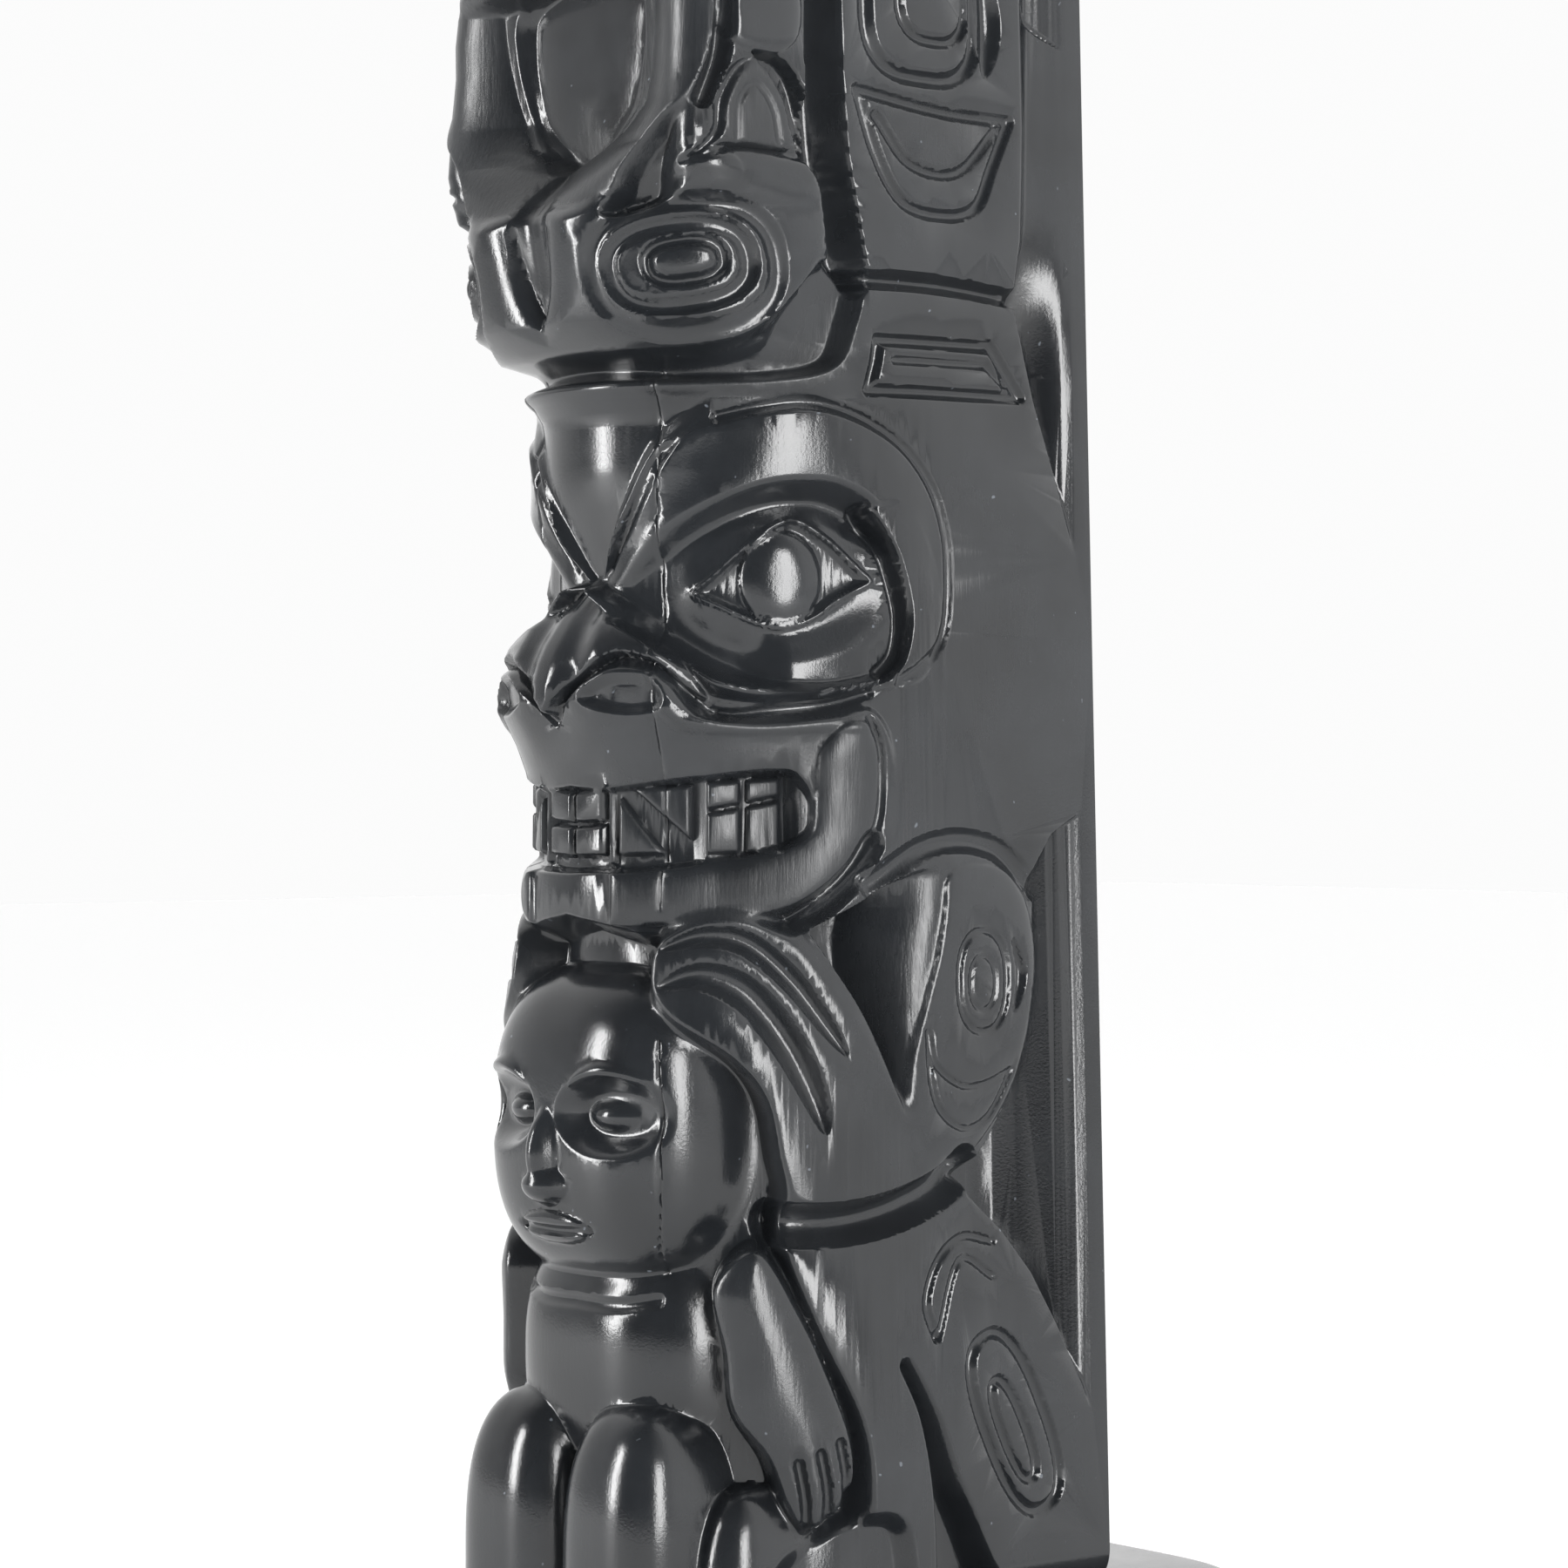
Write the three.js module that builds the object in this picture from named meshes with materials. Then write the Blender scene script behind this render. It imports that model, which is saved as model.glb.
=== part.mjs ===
// A carved argillite model totem pole on its low polished plinth.
//
// The pole is one block of black stone. Its front and sides are treated as one unrolled sheet:
//   u = distance around the block from the centre line of the front, the same on both sides
//   z = height above the pole's foot
// Every form is a relief height over that sheet, measured square to the block, in millimetres.
// The pole faces -Y, +Z is up, and the origin is under the middle of the plinth.
import * as THREE from 'three';
import { mergeVertices } from 'three/addons/utils/BufferGeometryUtils.js';

// ---- driving dimensions, millimetres ----
const PLINTH_WIDTH = 74; // along X
const PLINTH_DEPTH = 82; // along Y, rounded in front and squarer behind
const PLINTH_WIDEST_Y = 1;
const PLINTH_THICKNESS = 15;
const PLINTH_EDGE_ROUND = 2.2;
const PLINTH_FRONT_SQUARENESS = 2;
const PLINTH_BACK_SQUARENESS = 6;
const PLINTH_SIDES = 64;
const REST_GAP = 0.3; // between the pole's foot and the plinth
const POLE_Y = -7; // the pole stands forward of the plinth's middle

const POLE_HEIGHT = 243;
const CROWN_ROUND = 9; // how far below the top the block starts to round over
const CROWN_INSET = 6; // how far the top face is set in by that rounding
const BACK_Y = 27; // the flat back of the slab
const SECTION_CENTRE_Y = 5;
const FOOT_HALF_WIDTH = 29;
const TAPER = 0.0283; // half width lost for each millimetre of height
const ROUND_PART = 49.6; // sheet width of the curved front quarter
const SHEET_WIDTH = 71.6; // from the front centre line to the slab's back corner
const FOOT_CORNER = 4; // worn rounding of the slab's lowest corner

// how far the front stands before the section's centre, as [height, reach]
const FRONT_REACH = [[0, 33], [133, 33], [137, 33.5], [141, 37], [149, 38.7], [153, 39.3], [156, 38.6],
  [160, 37.4], [178, 36], [186, 35], [196, 33.5], [243, 33]];
// how square the section's shoulders are, as [height, power]; 2 is an oval
const SQUARENESS = [[0, 2.62], [60, 2.58], [68, 2.3], [75, 2], [133, 2], [139, 2.8], [149, 2.8], [153, 3],
  [156, 4.2], [160, 7], [178, 7], [186, 4], [196, 2.5], [243, 2.4]];

const HEAD = { x: 0, y: -17, z: 53, rx: 17.6, ry: 14.6, rz: 18.4, power: 2.8 }; // the small figure's head

// ---- mesh resolution ----
const TILE_CELLS = 128; // finest cells across the sheet, a power of two
const TILES_HIGH = 4;
const TRIANGLE_BUDGET = 4690; // for one half of the carved sheet

const stone = () => new THREE.MeshStandardMaterial({ color: 0x3c3f42, roughness: 0.32, metalness: 0 });

// ---- small helpers ----
const clamp = (t) => Math.min(1, Math.max(0, t));
const ease = (t) => clamp(t) ** 2 * (3 - 2 * clamp(t));
const quarterRound = (t) => Math.sqrt(1 - (1 - clamp(t)) ** 2);
const mix = (a, b, t) => a + (b - a) * t;

function softMax(a, b, width) {
  const t = clamp(0.5 + (0.5 * (a - b)) / width);
  return mix(b, a, t) + width * t * (1 - t);
}

// value at x on a chain of [x, value] knots, eased between them
function along(knots, x) {
  if (x <= knots[0][0]) return knots[0][1];
  for (let i = 1; i < knots.length; i += 1) {
    const [x1, v1] = knots[i];
    if (x <= x1) {
      const [x0, v0] = knots[i - 1];
      return mix(v0, v1, (x - x0) / (x1 - x0));
    }
  }
  return knots[knots.length - 1][1];
}

// ---- the uncarved block ----
// A quarter of a superellipse for the front, then a straight side back to the slab's corner.
const sections = new Map();

function sectionAtHeight(z) {
  if (sections.has(z)) return sections.get(z);
  const half = FOOT_HALF_WIDTH - TAPER * z;
  const reach = along(FRONT_REACH, z);
  const power = along(SQUARENESS, z);
  const steps = 400;
  const path = [];
  let length = 0;
  for (let i = 0; i <= steps; i += 1) {
    const angle = (i / steps) * (Math.PI / 2);
    const sx = Math.sin(angle) / half;
    const sy = Math.cos(angle) / reach;
    const r = (sx ** power + sy ** power) ** (-1 / power);
    const x = r * Math.sin(angle);
    const y = SECTION_CENTRE_Y - r * Math.cos(angle);
    if (i > 0) length += Math.hypot(x - path[i - 1].x, y - path[i - 1].y);
    path.push({ x, y, u: length });
  }
  for (const point of path) point.u *= ROUND_PART / length;
  path.push({ x: half, y: BACK_Y, u: ROUND_PART + BACK_Y - SECTION_CENTRE_Y });
  sections.set(z, path);
  return path;
}

// the place on the uncarved block, and its outward direction
function blockAt(u, z) {
  const path = sectionAtHeight(z);
  let low = 0;
  let high = path.length - 1;
  while (high - low > 1) {
    const middle = (low + high) >> 1;
    if (path[middle].u <= u) low = middle;
    else high = middle;
  }
  const a = path[low];
  const b = path[high];
  const t = (u - a.u) / (b.u - a.u);
  const step = Math.hypot(b.x - a.x, b.y - a.y);
  return {
    x: mix(a.x, b.x, t),
    y: mix(a.y, b.y, t),
    nx: (b.y - a.y) / step,
    ny: -(b.x - a.x) / step,
  };
}

function carvedPoint(u, z) {
  const place = blockAt(u, z);
  const over = clamp((z - (POLE_HEIGHT - CROWN_ROUND)) / CROWN_ROUND);
  const under = clamp((FOOT_CORNER - z) / FOOT_CORNER) * ease((u - 45) / 12);
  const crown = CROWN_INSET * (1 - Math.sqrt(1 - over * over));
  const foot = 0.7 * FOOT_CORNER * (1 - Math.sqrt(1 - under * under));
  const lift = relief(u, z, place) - crown - foot;
  return [Math.max(0, place.x + place.nx * lift), Math.min(BACK_Y, place.y + place.ny * lift), z];
}

// ---- outlines and lines on the sheet ----
const SHARP = true; // third value of a point where the line turns a corner

// Catmull-Rom curve through all but the first and last of the points
function smoothRun(p) {
  const run = [];
  const steps = 6;
  const blend = (a, b, c, d, t) => 0.5 * (2 * b + (c - a) * t + (2 * a - 5 * b + 4 * c - d) * t * t
    + (3 * b - a - 3 * c + d) * t ** 3);
  for (let i = 1; i < p.length - 2; i += 1) {
    for (let k = 0; k < steps; k += 1) {
      run.push([0, 1].map((n) => blend(p[i - 1][n], p[i][n], p[i + 1][n], p[i + 2][n], k / steps)));
    }
  }
  run.push(p[p.length - 2].slice(0, 2));
  return run;
}

const beyond = (a, b) => [2 * a[0] - b[0], 2 * a[1] - b[1]];

function drawn(points, closed) {
  const ring = closed ? [...points, points[0]] : points;
  const last = ring.length - 1;
  const corners = ring.map((p, i) => (p[2] ? i : -1)).filter((i) => i >= 0);
  if (closed && corners.length === 0) return smoothRun([points[last - 1], ...ring, points[1]]);
  const stops = [...new Set([0, ...corners, last])].sort((a, b) => a - b);
  const smoothStart = closed && !ring[0][2];
  const line = [];
  for (let k = 1; k < stops.length; k += 1) {
    const run = ring.slice(stops[k - 1], stops[k] + 1);
    const before = smoothStart && k === 1 ? ring[last - 1] : beyond(run[0], run[1]);
    const after = smoothStart && k === stops.length - 1
      ? ring[1] : beyond(run[run.length - 1], run[run.length - 2]);
    line.push(...smoothRun([before, ...run, after]).slice(k === 1 ? 0 : 1));
  }
  return line;
}

function bounds(path, margin) {
  const us = path.map((p) => p[0]);
  const zs = path.map((p) => p[1]);
  return {
    u0: Math.min(...us) - margin,
    u1: Math.max(...us) + margin,
    z0: Math.min(...zs) - margin,
    z1: Math.max(...zs) + margin,
  };
}

const outsideBox = (box, u, z) => u < box.u0 || u > box.u1 || z < box.z0 || z > box.z1;

// distance to a path, and how far along it the nearest point lies, from 0 to 1
function nearest(path, u, z) {
  let best = Infinity;
  let at = 0;
  for (let i = 1; i < path.length; i += 1) {
    const [u0, z0] = path[i - 1];
    const du = path[i][0] - u0;
    const dz = path[i][1] - z0;
    const t = clamp(((u - u0) * du + (z - z0) * dz) / (du * du + dz * dz || 1));
    const d = Math.hypot(u - u0 - t * du, z - z0 - t * dz);
    if (d < best) {
      best = d;
      at = (i - 1 + t) / (path.length - 1);
    }
  }
  return { distance: best, at };
}

function isInside(path, u, z) {
  let inside = false;
  for (let i = 0, j = path.length - 1; i < path.length; j = i, i += 1) {
    const [ui, zi] = path[i];
    const [uj, zj] = path[j];
    if (zi > z !== zj > z && u < ((uj - ui) * (z - zi)) / (zj - zi) + ui) inside = !inside;
  }
  return inside;
}

const depthInside = (path, u, z) => nearest(path, u, z).distance * (isInside(path, u, z) ? 1 : -1);

// the rounded box shape of this carving tradition, lying along its tilt
function ovoid(u, z, halfLong, halfShort, tiltDegrees = 0, squareness = 2.6) {
  const tilt = THREE.MathUtils.degToRad(tiltDegrees);
  const path = [];
  const steps = 28;
  for (let i = 0; i <= steps; i += 1) {
    const angle = (i / steps) * Math.PI * 2;
    const c = Math.cos(angle);
    const s = Math.sin(angle);
    const a = halfLong * Math.sign(c) * Math.abs(c) ** (2 / squareness);
    const b = halfShort * Math.sign(s) * Math.abs(s) ** (2 / squareness);
    path.push([u + a * Math.cos(tilt) - b * Math.sin(tilt), z + a * Math.sin(tilt) + b * Math.cos(tilt)]);
  }
  return path;
}

// ---- the carver's cuts: each takes the height at a place and gives the new one ----
const cuts = [];
const cut = (box, change) => cuts.push({ box, change });

// brings the ground inside an outline to a level, over an edge of the given width
function level(path, height, edge) {
  cut(bounds(path, edge), (u, z, h) => {
    const t = ease(depthInside(path, u, z) / edge + 0.5);
    const target = typeof height === 'function' ? height(u, z) : height;
    return mix(h, target, t);
  });
}

// lowers or raises the ground inside an outline by the same amount, over a crisp edge
function levelBy(path, height, edge) {
  cut(bounds(path, edge), (u, z, h) => h + height * ease(depthInside(path, u, z) / edge + 0.5));
}

// cuts back to an upright plane facing the front
function face(path, y, edge) {
  cut(bounds(path, edge), (u, z, h, place) => {
    const t = ease(depthInside(path, u, z) / edge + 0.5);
    return mix(h, (y - place.y) / place.ny, t);
  });
}

// lifts the ground inside an outline, rounding up from its edge
function pillow(path, height, edge) {
  cut(bounds(path, 0), (u, z, h) => {
    const depth = depthInside(path, u, z);
    return depth <= 0 ? h : h + height * quarterRound(depth / edge);
  });
}

// raises the ground inside an outline, smoothly at both its foot and its top
function mound(path, height, edge) {
  cut(bounds(path, 0), (u, z, h) => h + height * ease(depthInside(path, u, z) / edge));
}

// a cut with sloping sides along a line; a negative depth leaves a raised cord
function groove(path, depth, halfWidth, pointed = false) {
  cut(bounds(path, halfWidth), (u, z, h) => {
    const { distance, at } = nearest(path, u, z);
    const ends = pointed ? Math.max(0.05, Math.sin(Math.PI * clamp(at)) ** 0.5) : 1;
    return h - depth * ends * clamp(1 - (distance / (halfWidth * ends)) ** 2);
  });
}

// a rounded mass standing out of the block, by its own centre and radii; a higher power squares it
function ball(x, y, z, rx, ry, rz, blend = 1.2, power = 2) {
  cut({ u0: -1, u1: SHEET_WIDTH, z0: z - rz, z1: z + rz }, (u, height, h, place) => {
    const px = (place.x - x) / rx;
    const py = (place.y - y) / ry;
    const nx = place.nx / rx;
    const ny = place.ny / ry;
    const pz = Math.abs((height - z) / rz) ** power;
    const outside = (lift) => Math.abs(px + nx * lift) ** power + Math.abs(py + ny * lift) ** power + pz > 1;
    let low = -(nx * px + ny * py) / (nx * nx + ny * ny);
    if (outside(low)) return h;
    let high = low + 2 * Math.max(rx, ry);
    for (let i = 0; i < 16; i += 1) {
      const middle = (low + high) / 2;
      if (outside(middle)) high = middle;
      else low = middle;
    }
    return softMax(h, low, blend);
  });
}

// ---- back slab ----
// the rear edge of the carved figures; behind it a cove runs out to the slab's thin edge
const FIGURE_REAR = [
  [0, 71.6], [16, 70.5], [23, 67.5], [30, 63.8], [36, 60], [41, 55.5], [45, 50.5], [47, 49.5],
  [51, 53.5], [56, 57.3], [63, 60], [70, 61.3], [76, 61.3], [81, 61.5], [85, 64.5], [89, 71.6],
  [110, 71.6], [118, 68.5], [125, 66.3], [134, 63], [145, 60], [152, 61.3], [165, 61.9], [243, 62],
];
// how deep the cove is, as [distance from the slab's edge, depth]
const COVE_FLANGE = [[0, 0], [2.2, 0], [3.2, 0.35], [4.4, 1.1], [6, 2.6], [8, 4.5], [10, 6], [13, 7.4],
  [18, 8.2]];
const COVE_TOP = 228;

function carveCove() {
  cut({ u0: 45, u1: SHEET_WIDTH + 1, z0: -1, z1: POLE_HEIGHT + 1 }, (u, z, h) => {
    const front = along(FIGURE_REAR, z);
    const width = SHEET_WIDTH - front;
    if (u <= front || width < 0.5) return h;
    const wall = ease((u - front) / (0.3 * width));
    return h - along(COVE_FLANGE, SHEET_WIDTH - u) * wall * ease((COVE_TOP - z) / 8);
  });
}

// ---- upper figure: its own plain head, chin over a round belly, flukes and side fins ----
function carveUpperHead() {
  level(ovoid(8, 206, 32, 24, 0, 4), 1.5, 5);
  ball(0, -17, 202, 15, 16, 12, 4);
  pillow(ovoid(0, 187.5, 29, 5.5, 0, 3), 2, 3);
  groove(drawn([[0, 193], [16, 193.2], [26, 195.5], [29, 199]], false), 2.2, 1.5);
  groove(drawn([[3, 201], [9, 205], [14, 204], [17, 200], [27, 202]], false), 1.6, 1.6);
  level(ovoid(21, 213, 11, 6.5, -4, 2.2), -1.2, 3);
  ball(17.5, -16.5, 213, 7.5, 7.5, 4.6, 1);
  groove(ovoid(20.5, 213, 7.5, 4.2, -4, 2), 0.8, 0.8);
  pillow(drawn([[2, 212], [8, 219], [18, 223.5], [29, 222.5], [37, 214], [35, 206], [32, 212], [26, 218.6],
    [17, 218.5], [9, 213.5]], true), 2.2, 2.4);
  level(drawn([[-3, 214], [0, 211], [3, 214], [9, 222], [12, 230], [0, 231], [-9, 229]], true), -2, 3);
  pillow(drawn([[19, 227], [23, 236], [31, 238], [39, 235], [42, 227], [31, 225.5]], true), 2, 2);
  groove(drawn([[24, 228.5], [27, 234], [32, 235], [36, 233.5], [38, 228.5], [31, 227.8]], true), 1, 0.9);
}

// the inner and outer edges of the turned-up rim of a fluke, as (height, distance round)
const RIM_INNER = [[150, 1.5], [155, 1.0], [158.4, 0], [160, 3.4], [162, 7], [164.5, 9.4], [168, 10.8],
  [172, 11.8], [180, 12.8]];
const RIM_OUTER = [[152, 11], [154, 12], [157, 13], [159.4, 14.6], [161.5, 17], [163.5, 19], [166.8, 21.3],
  [171.3, 22.6], [180, 22.8]];

function carveUpperBody() {
  const rim = (u, z) => {
    const inner = along(RIM_INNER, z);
    const outer = along(RIM_OUTER, z);
    const low = along([[152, 0], [155, -2.2], [158.4, -5.1], [165, -6.2], [175, -4.4], [180, -4]], z);
    const high = along([[152, 0], [157, -0.3], [160, -0.6], [165, 0.3], [175, 1.2], [180, 1]], z);
    return mix(low, high, clamp((u - inner) / (outer - inner)) ** 0.8);
  };

  const lobe = drawn([[3.4, 154], [2.7, 149], [1.6, 144.6], [-1, 141], [-6, 139.6], [-6, 136.6], [8, 136.8],
    [20, 137.4], [27, 139.8], [32, 143.8], [35, 148.6], [35.8, 154], [34.4, 158.6], [28, 159], [21.5, 158.6],
    [18, 155.4], [13.4, 153.4], [9.4, 155], [6, 156]], true);
  level(lobe, -0.8, 2);
  pillow(lobe, 1.5, 8);
  level(drawn([[-6, 153], [4, 152.6], [8.5, 153], [12.4, 155], [13.4, 157], [14.8, 159.4], [17.2, 161.5],
    [19.2, 163.5], [21.4, 166.8], [22.6, 171.3], [22.8, 176], [20, 178.6], [15.5, 178.6], [0, 178], [-6, 170]],
    true), rim, 2.4);
  face(drawn([[0, 159], [4, 161], [7.2, 164.4], [8.8, 168.6], [9.6, 173], [9.2, 177], [5, 179.4], [0, 180],
    [-9, 179], [-9, 164]], true), -24.6, 2);
  pillow(drawn([[0, 159, SHARP], [4, 161], [7.2, 164.4], [8.8, 168.6], [9.6, 173], [9.2, 177], [5, 179.4],
    [0, 180], [-5, 179.4], [-9.2, 177], [-9.6, 173], [-8.8, 168.6], [-7.2, 164.4], [-4, 161]], true),
    0.9, 6);
  groove(drawn([[0, 158.5], [0.5, 152], [0.5, 146], [0, 140.6]], false), 1.3, 2.8, true);
  const scoop = drawn([[11.4, 152.4], [12.6, 154.4], [13.4, 157], [14.9, 159.4], [17.2, 161.6], [19.5, 163.6],
    [21.6, 167], [22.6, 171.4], [23.4, 171], [22.8, 166.6], [21.4, 162.6], [20.4, 159.4], [19.8, 156.4],
    [18.6, 154.4], [15, 153]], true);
  level(scoop, (u, z) => -3.4 * ease((20.6 - u) / 4.5), 1.6);
  groove(drawn([[22.6, 178.5], [23, 174], [22.8, 169], [21.2, 164]], false), 2.2, 1.2);
  pillow(ovoid(21.2, 156.2, 4, 2.8, 10, 2), 0.5, 2.6);
  groove(ovoid(18.6, 146.4, 9.6, 6.9, 7, 2.5), 1.2, 1.0);
  level(ovoid(18.6, 146.4, 8.9, 6.2, 7, 2.5), -0.35, 1);
  groove(ovoid(18.7, 146.5, 7.9, 5.2, 7, 2.5), 0.9, 0.9);
  level(ovoid(19, 147.2, 6.6, 4.4, 8, 2.4), -1.0, 2);
  pillow(ovoid(19.4, 147.2, 4.8, 3.2, 9, 2.3), 0.9, 1);
  level(ovoid(19.4, 146.9, 3.7, 1.7, 9, 2.2), -1.2, 0.9);
  level(drawn([[23.8, 166.4], [24.4, 168.8], [26.4, 169.4], [28.6, 169.5], [30.4, 168.8], [31.8, 167],
    [32.8, 163.5], [33.8, 158], [34.6, 154.6], [33, 157.4], [31.4, 160.4], [30.2, 163], [29, 165],
    [27.2, 166.3], [25.4, 166.2]], true), -1.9, 1);
  groove(drawn([[19.8, 157.6], [22.2, 160.6], [23.2, 164], [24, 167]], false), 0.9, 0.9);
  groove(drawn([[22.4, 159.2], [25.4, 158.9], [28.4, 159], [31.4, 157.8]], false), 0.7, 0.8);
  groove(drawn([[23.6, 163], [24.8, 163.9], [27, 163.8], [28.9, 163], [30.1, 160.6], [30.9, 158.6]],
    false), 0.5, 0.6);
  pillow(ovoid(27.4, 174.2, 4.6, 4.8, 0, 2.6), 0.8, 2.4);
  groove(drawn([[-8, 136.4], [6, 136.4], [16, 136.6], [23, 137.6], [28, 139.8], [31.6, 143], [34.4, 146.4]],
    false), 1.8, 1.5);
}

function carveSideFin() {
  groove(drawn([[34.6, 183], [34.9, 170], [35.6, 160], [36.8, 150], [37.5, 146]], false), 4.6, 2.4);
  groove(ovoid(47.8, 177.5, 7.6, 8.6, 0, 3), 1.1, 1.1);
  groove(ovoid(49.2, 178, 4.6, 4.8, 0, 2.6), 0.8, 0.8);
  groove(drawn([[56.5, 183], [57.6, 176], [56.6, 169.8]], false), 1.6, 1.7, true);
  groove(drawn([[39.2, 166.8, SHARP], [41.5, 160], [44.6, 155], [50, 153.9], [54.9, 155.2], [57.5, 160],
    [60.2, 165.4, SHARP], [50, 165.5]], true), 0.9, 0.9);
  groove(drawn([[41.5, 164.2], [46, 159.2], [52.5, 159], [58.4, 164.4]], false), 0.8, 0.8);
  groove(drawn([[33, 145.2], [38, 146], [50, 146.1], [60.5, 145.4]], false), 1.8, 1.2);
}

// ---- bear ----
function carveEar() {
  const hollow = drawn([[26, 138.5], [31, 143.8], [35.2, 147.5], [38.2, 145.3], [36.9, 140.5], [33.8, 136.6],
    [27, 135.2], [16, 134.9], [-4, 134.9], [-4, 136.6], [16, 136.9]], true);
  level(hollow, -3, 1.6);
  groove(drawn([[38.6, 134, SHARP], [40.5, 139.5, SHARP], [56.7, 139.7, SHARP], [61, 134.2, SHARP]],
    true), 0.9, 0.9);
  groove(drawn([[42.5, 137.4, SHARP], [56, 137.6, SHARP], [59, 135.4, SHARP]], false), 0.6, 0.7);
}

function carveBearFace() {
  const forehead = drawn([[-14, 134], [-7, 122], [0, 112.4], [7, 120], [12, 127.5], [17, 134]], true);
  level(forehead, (u, z) => mix(-4.6, -1.0, ease((z - 112) / 22)), 3.4);
  const brow = drawn([[1, 113.2, SHARP], [6.7, 117.2], [10, 121.4], [12.4, 125.2], [16.4, 129], [22.8, 130.9],
    [31, 131.8], [37, 130.4], [43, 127.2], [46.8, 123], [48.7, 118], [49, 112.6], [48.2, 107.6], [44.8, 103.9],
    [41, 102], [36, 103], [28, 103], [17, 106.5], [8, 110.4]], true);
  level(brow, (u, z) => 0.7 + 1.4 * ease((22 - u) / 14) * ease((u - 1) / 7) - 0.6 * ease((u - 40) / 8),
    2);
  const socket = drawn([[4, 112.6, SHARP], [9.8, 115.3], [17.3, 119.2], [25, 122.2], [31, 122.9], [35, 122.3],
    [38.6, 120.2], [42.2, 115], [43.8, 108.8], [42.4, 104.3], [39.4, 101.8], [33, 100.6], [26, 101.2],
    [19, 103.4], [13, 106.6], [8.4, 109.6]], true);
  level(socket, (u, z) => -3.0 + 1.4 * ease((24 - u) / 16) * ease((110 - z) / 5), 4.4);
  level(drawn([[38.4, 120.6], [41.8, 116], [43.7, 109.4], [42.4, 104.4], [39.8, 101.8], [46, 103], [48, 112],
    [44, 121]], true), (u, z) => 0.6 - 0.5 * ease((u - 42) / 8), 0.9);
  mound(ovoid(27.4, 112.8, 13.6, 8.2, 4, 2.1), 2.5, 4.4);
  const almond = drawn([[16.8, 111.5, SHARP], [19.4, 113.3], [22, 115.4], [26.2, 118.3], [29.6, 119.3],
    [33.6, 117.2], [36.2, 115.2], [38.9, 113, SHARP], [34.3, 110.8], [31.8, 109.2], [28, 108], [24, 108.8],
    [20, 110.4]], true);
  groove(almond, -0.3, 0.6);
  levelBy(almond, -0.6, 0.5);
  pillow(ovoid(27.7, 113.2, 5.3, 5.3, 0, 2), 1.2, 3.4);
  mound(drawn([[6, 108.4], [10, 107.6], [15, 105.6], [20, 103.6], [26, 102.4], [33, 102.2], [39.4, 103.2],
    [40, 101.4], [33.4, 99.6], [26.5, 99.2], [20, 99.9], [17.4, 101.4], [14, 104.4], [9, 105.6]], true),
    2.2, 1.9);
  groove(drawn([[20, 130.6], [25.6, 131.8], [31, 132.3], [37, 131], [43, 127.9], [47.2, 123.6], [49.3, 118.4],
    [49.6, 112.8], [48.8, 107.4], [46.4, 104.6], [42, 102]], false), 0.7, 1);
}

function carveBearNose() {
  const bridge = [[92, 0.8], [97, 2.2], [101.5, 2.8], [105, 2.4], [109, 0.2], [113.4, -4.4]];
  const nose = drawn([[0, 113.8], [2.6, 111.2], [6.6, 108.8], [9.6, 107], [11.6, 104.6], [9, 101], [5, 97.4],
    [0, 97], [-5, 97.2], [-9, 106]], true);
  level(nose, (u, z) => along(bridge, z) - 2.3 * ease((u - 0.6) / 6) * ease((112 - z) / 6), 3);
  groove(drawn([[0.9, 112.6], [0.9, 109.6], [0.9, 106.8]], false), -0.5, 0.7);
  groove(drawn([[0, 106.4], [0, 102], [0, 98.4]], false), -0.6, 1.4);
  const wing = drawn([[1, 92.4], [1.6, 96.4], [2.8, 100.2], [5.4, 103.6], [9.6, 105.2], [14, 104.6],
    [17.4, 101.9], [18.8, 98.8], [20.4, 96.6], [19, 93], [10, 91.4]], true);
  const swell = [[90, 0.2], [94, 1.2], [97, 2.3], [100, 3.3], [105, 3.8]];
  level(wing, (u, z) => along(swell,
    z) + 0.8 * ease((u - 9) / 5) * ease((z - 94) / 5) - 1.6 * ease((u - 15) / 4), 1.6);
  level(drawn([[6.4, 101.4], [7, 102.6], [11.6, 102.9], [13.4, 101.8], [13, 99.4], [10, 98], [7, 98.6]],
    true), (u, z) => 0.6 + 1.6 * ease((99.6 - z) / 2.4) + 0.9 * ease((z - 100.4) / 2), 1.1);
}

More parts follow.
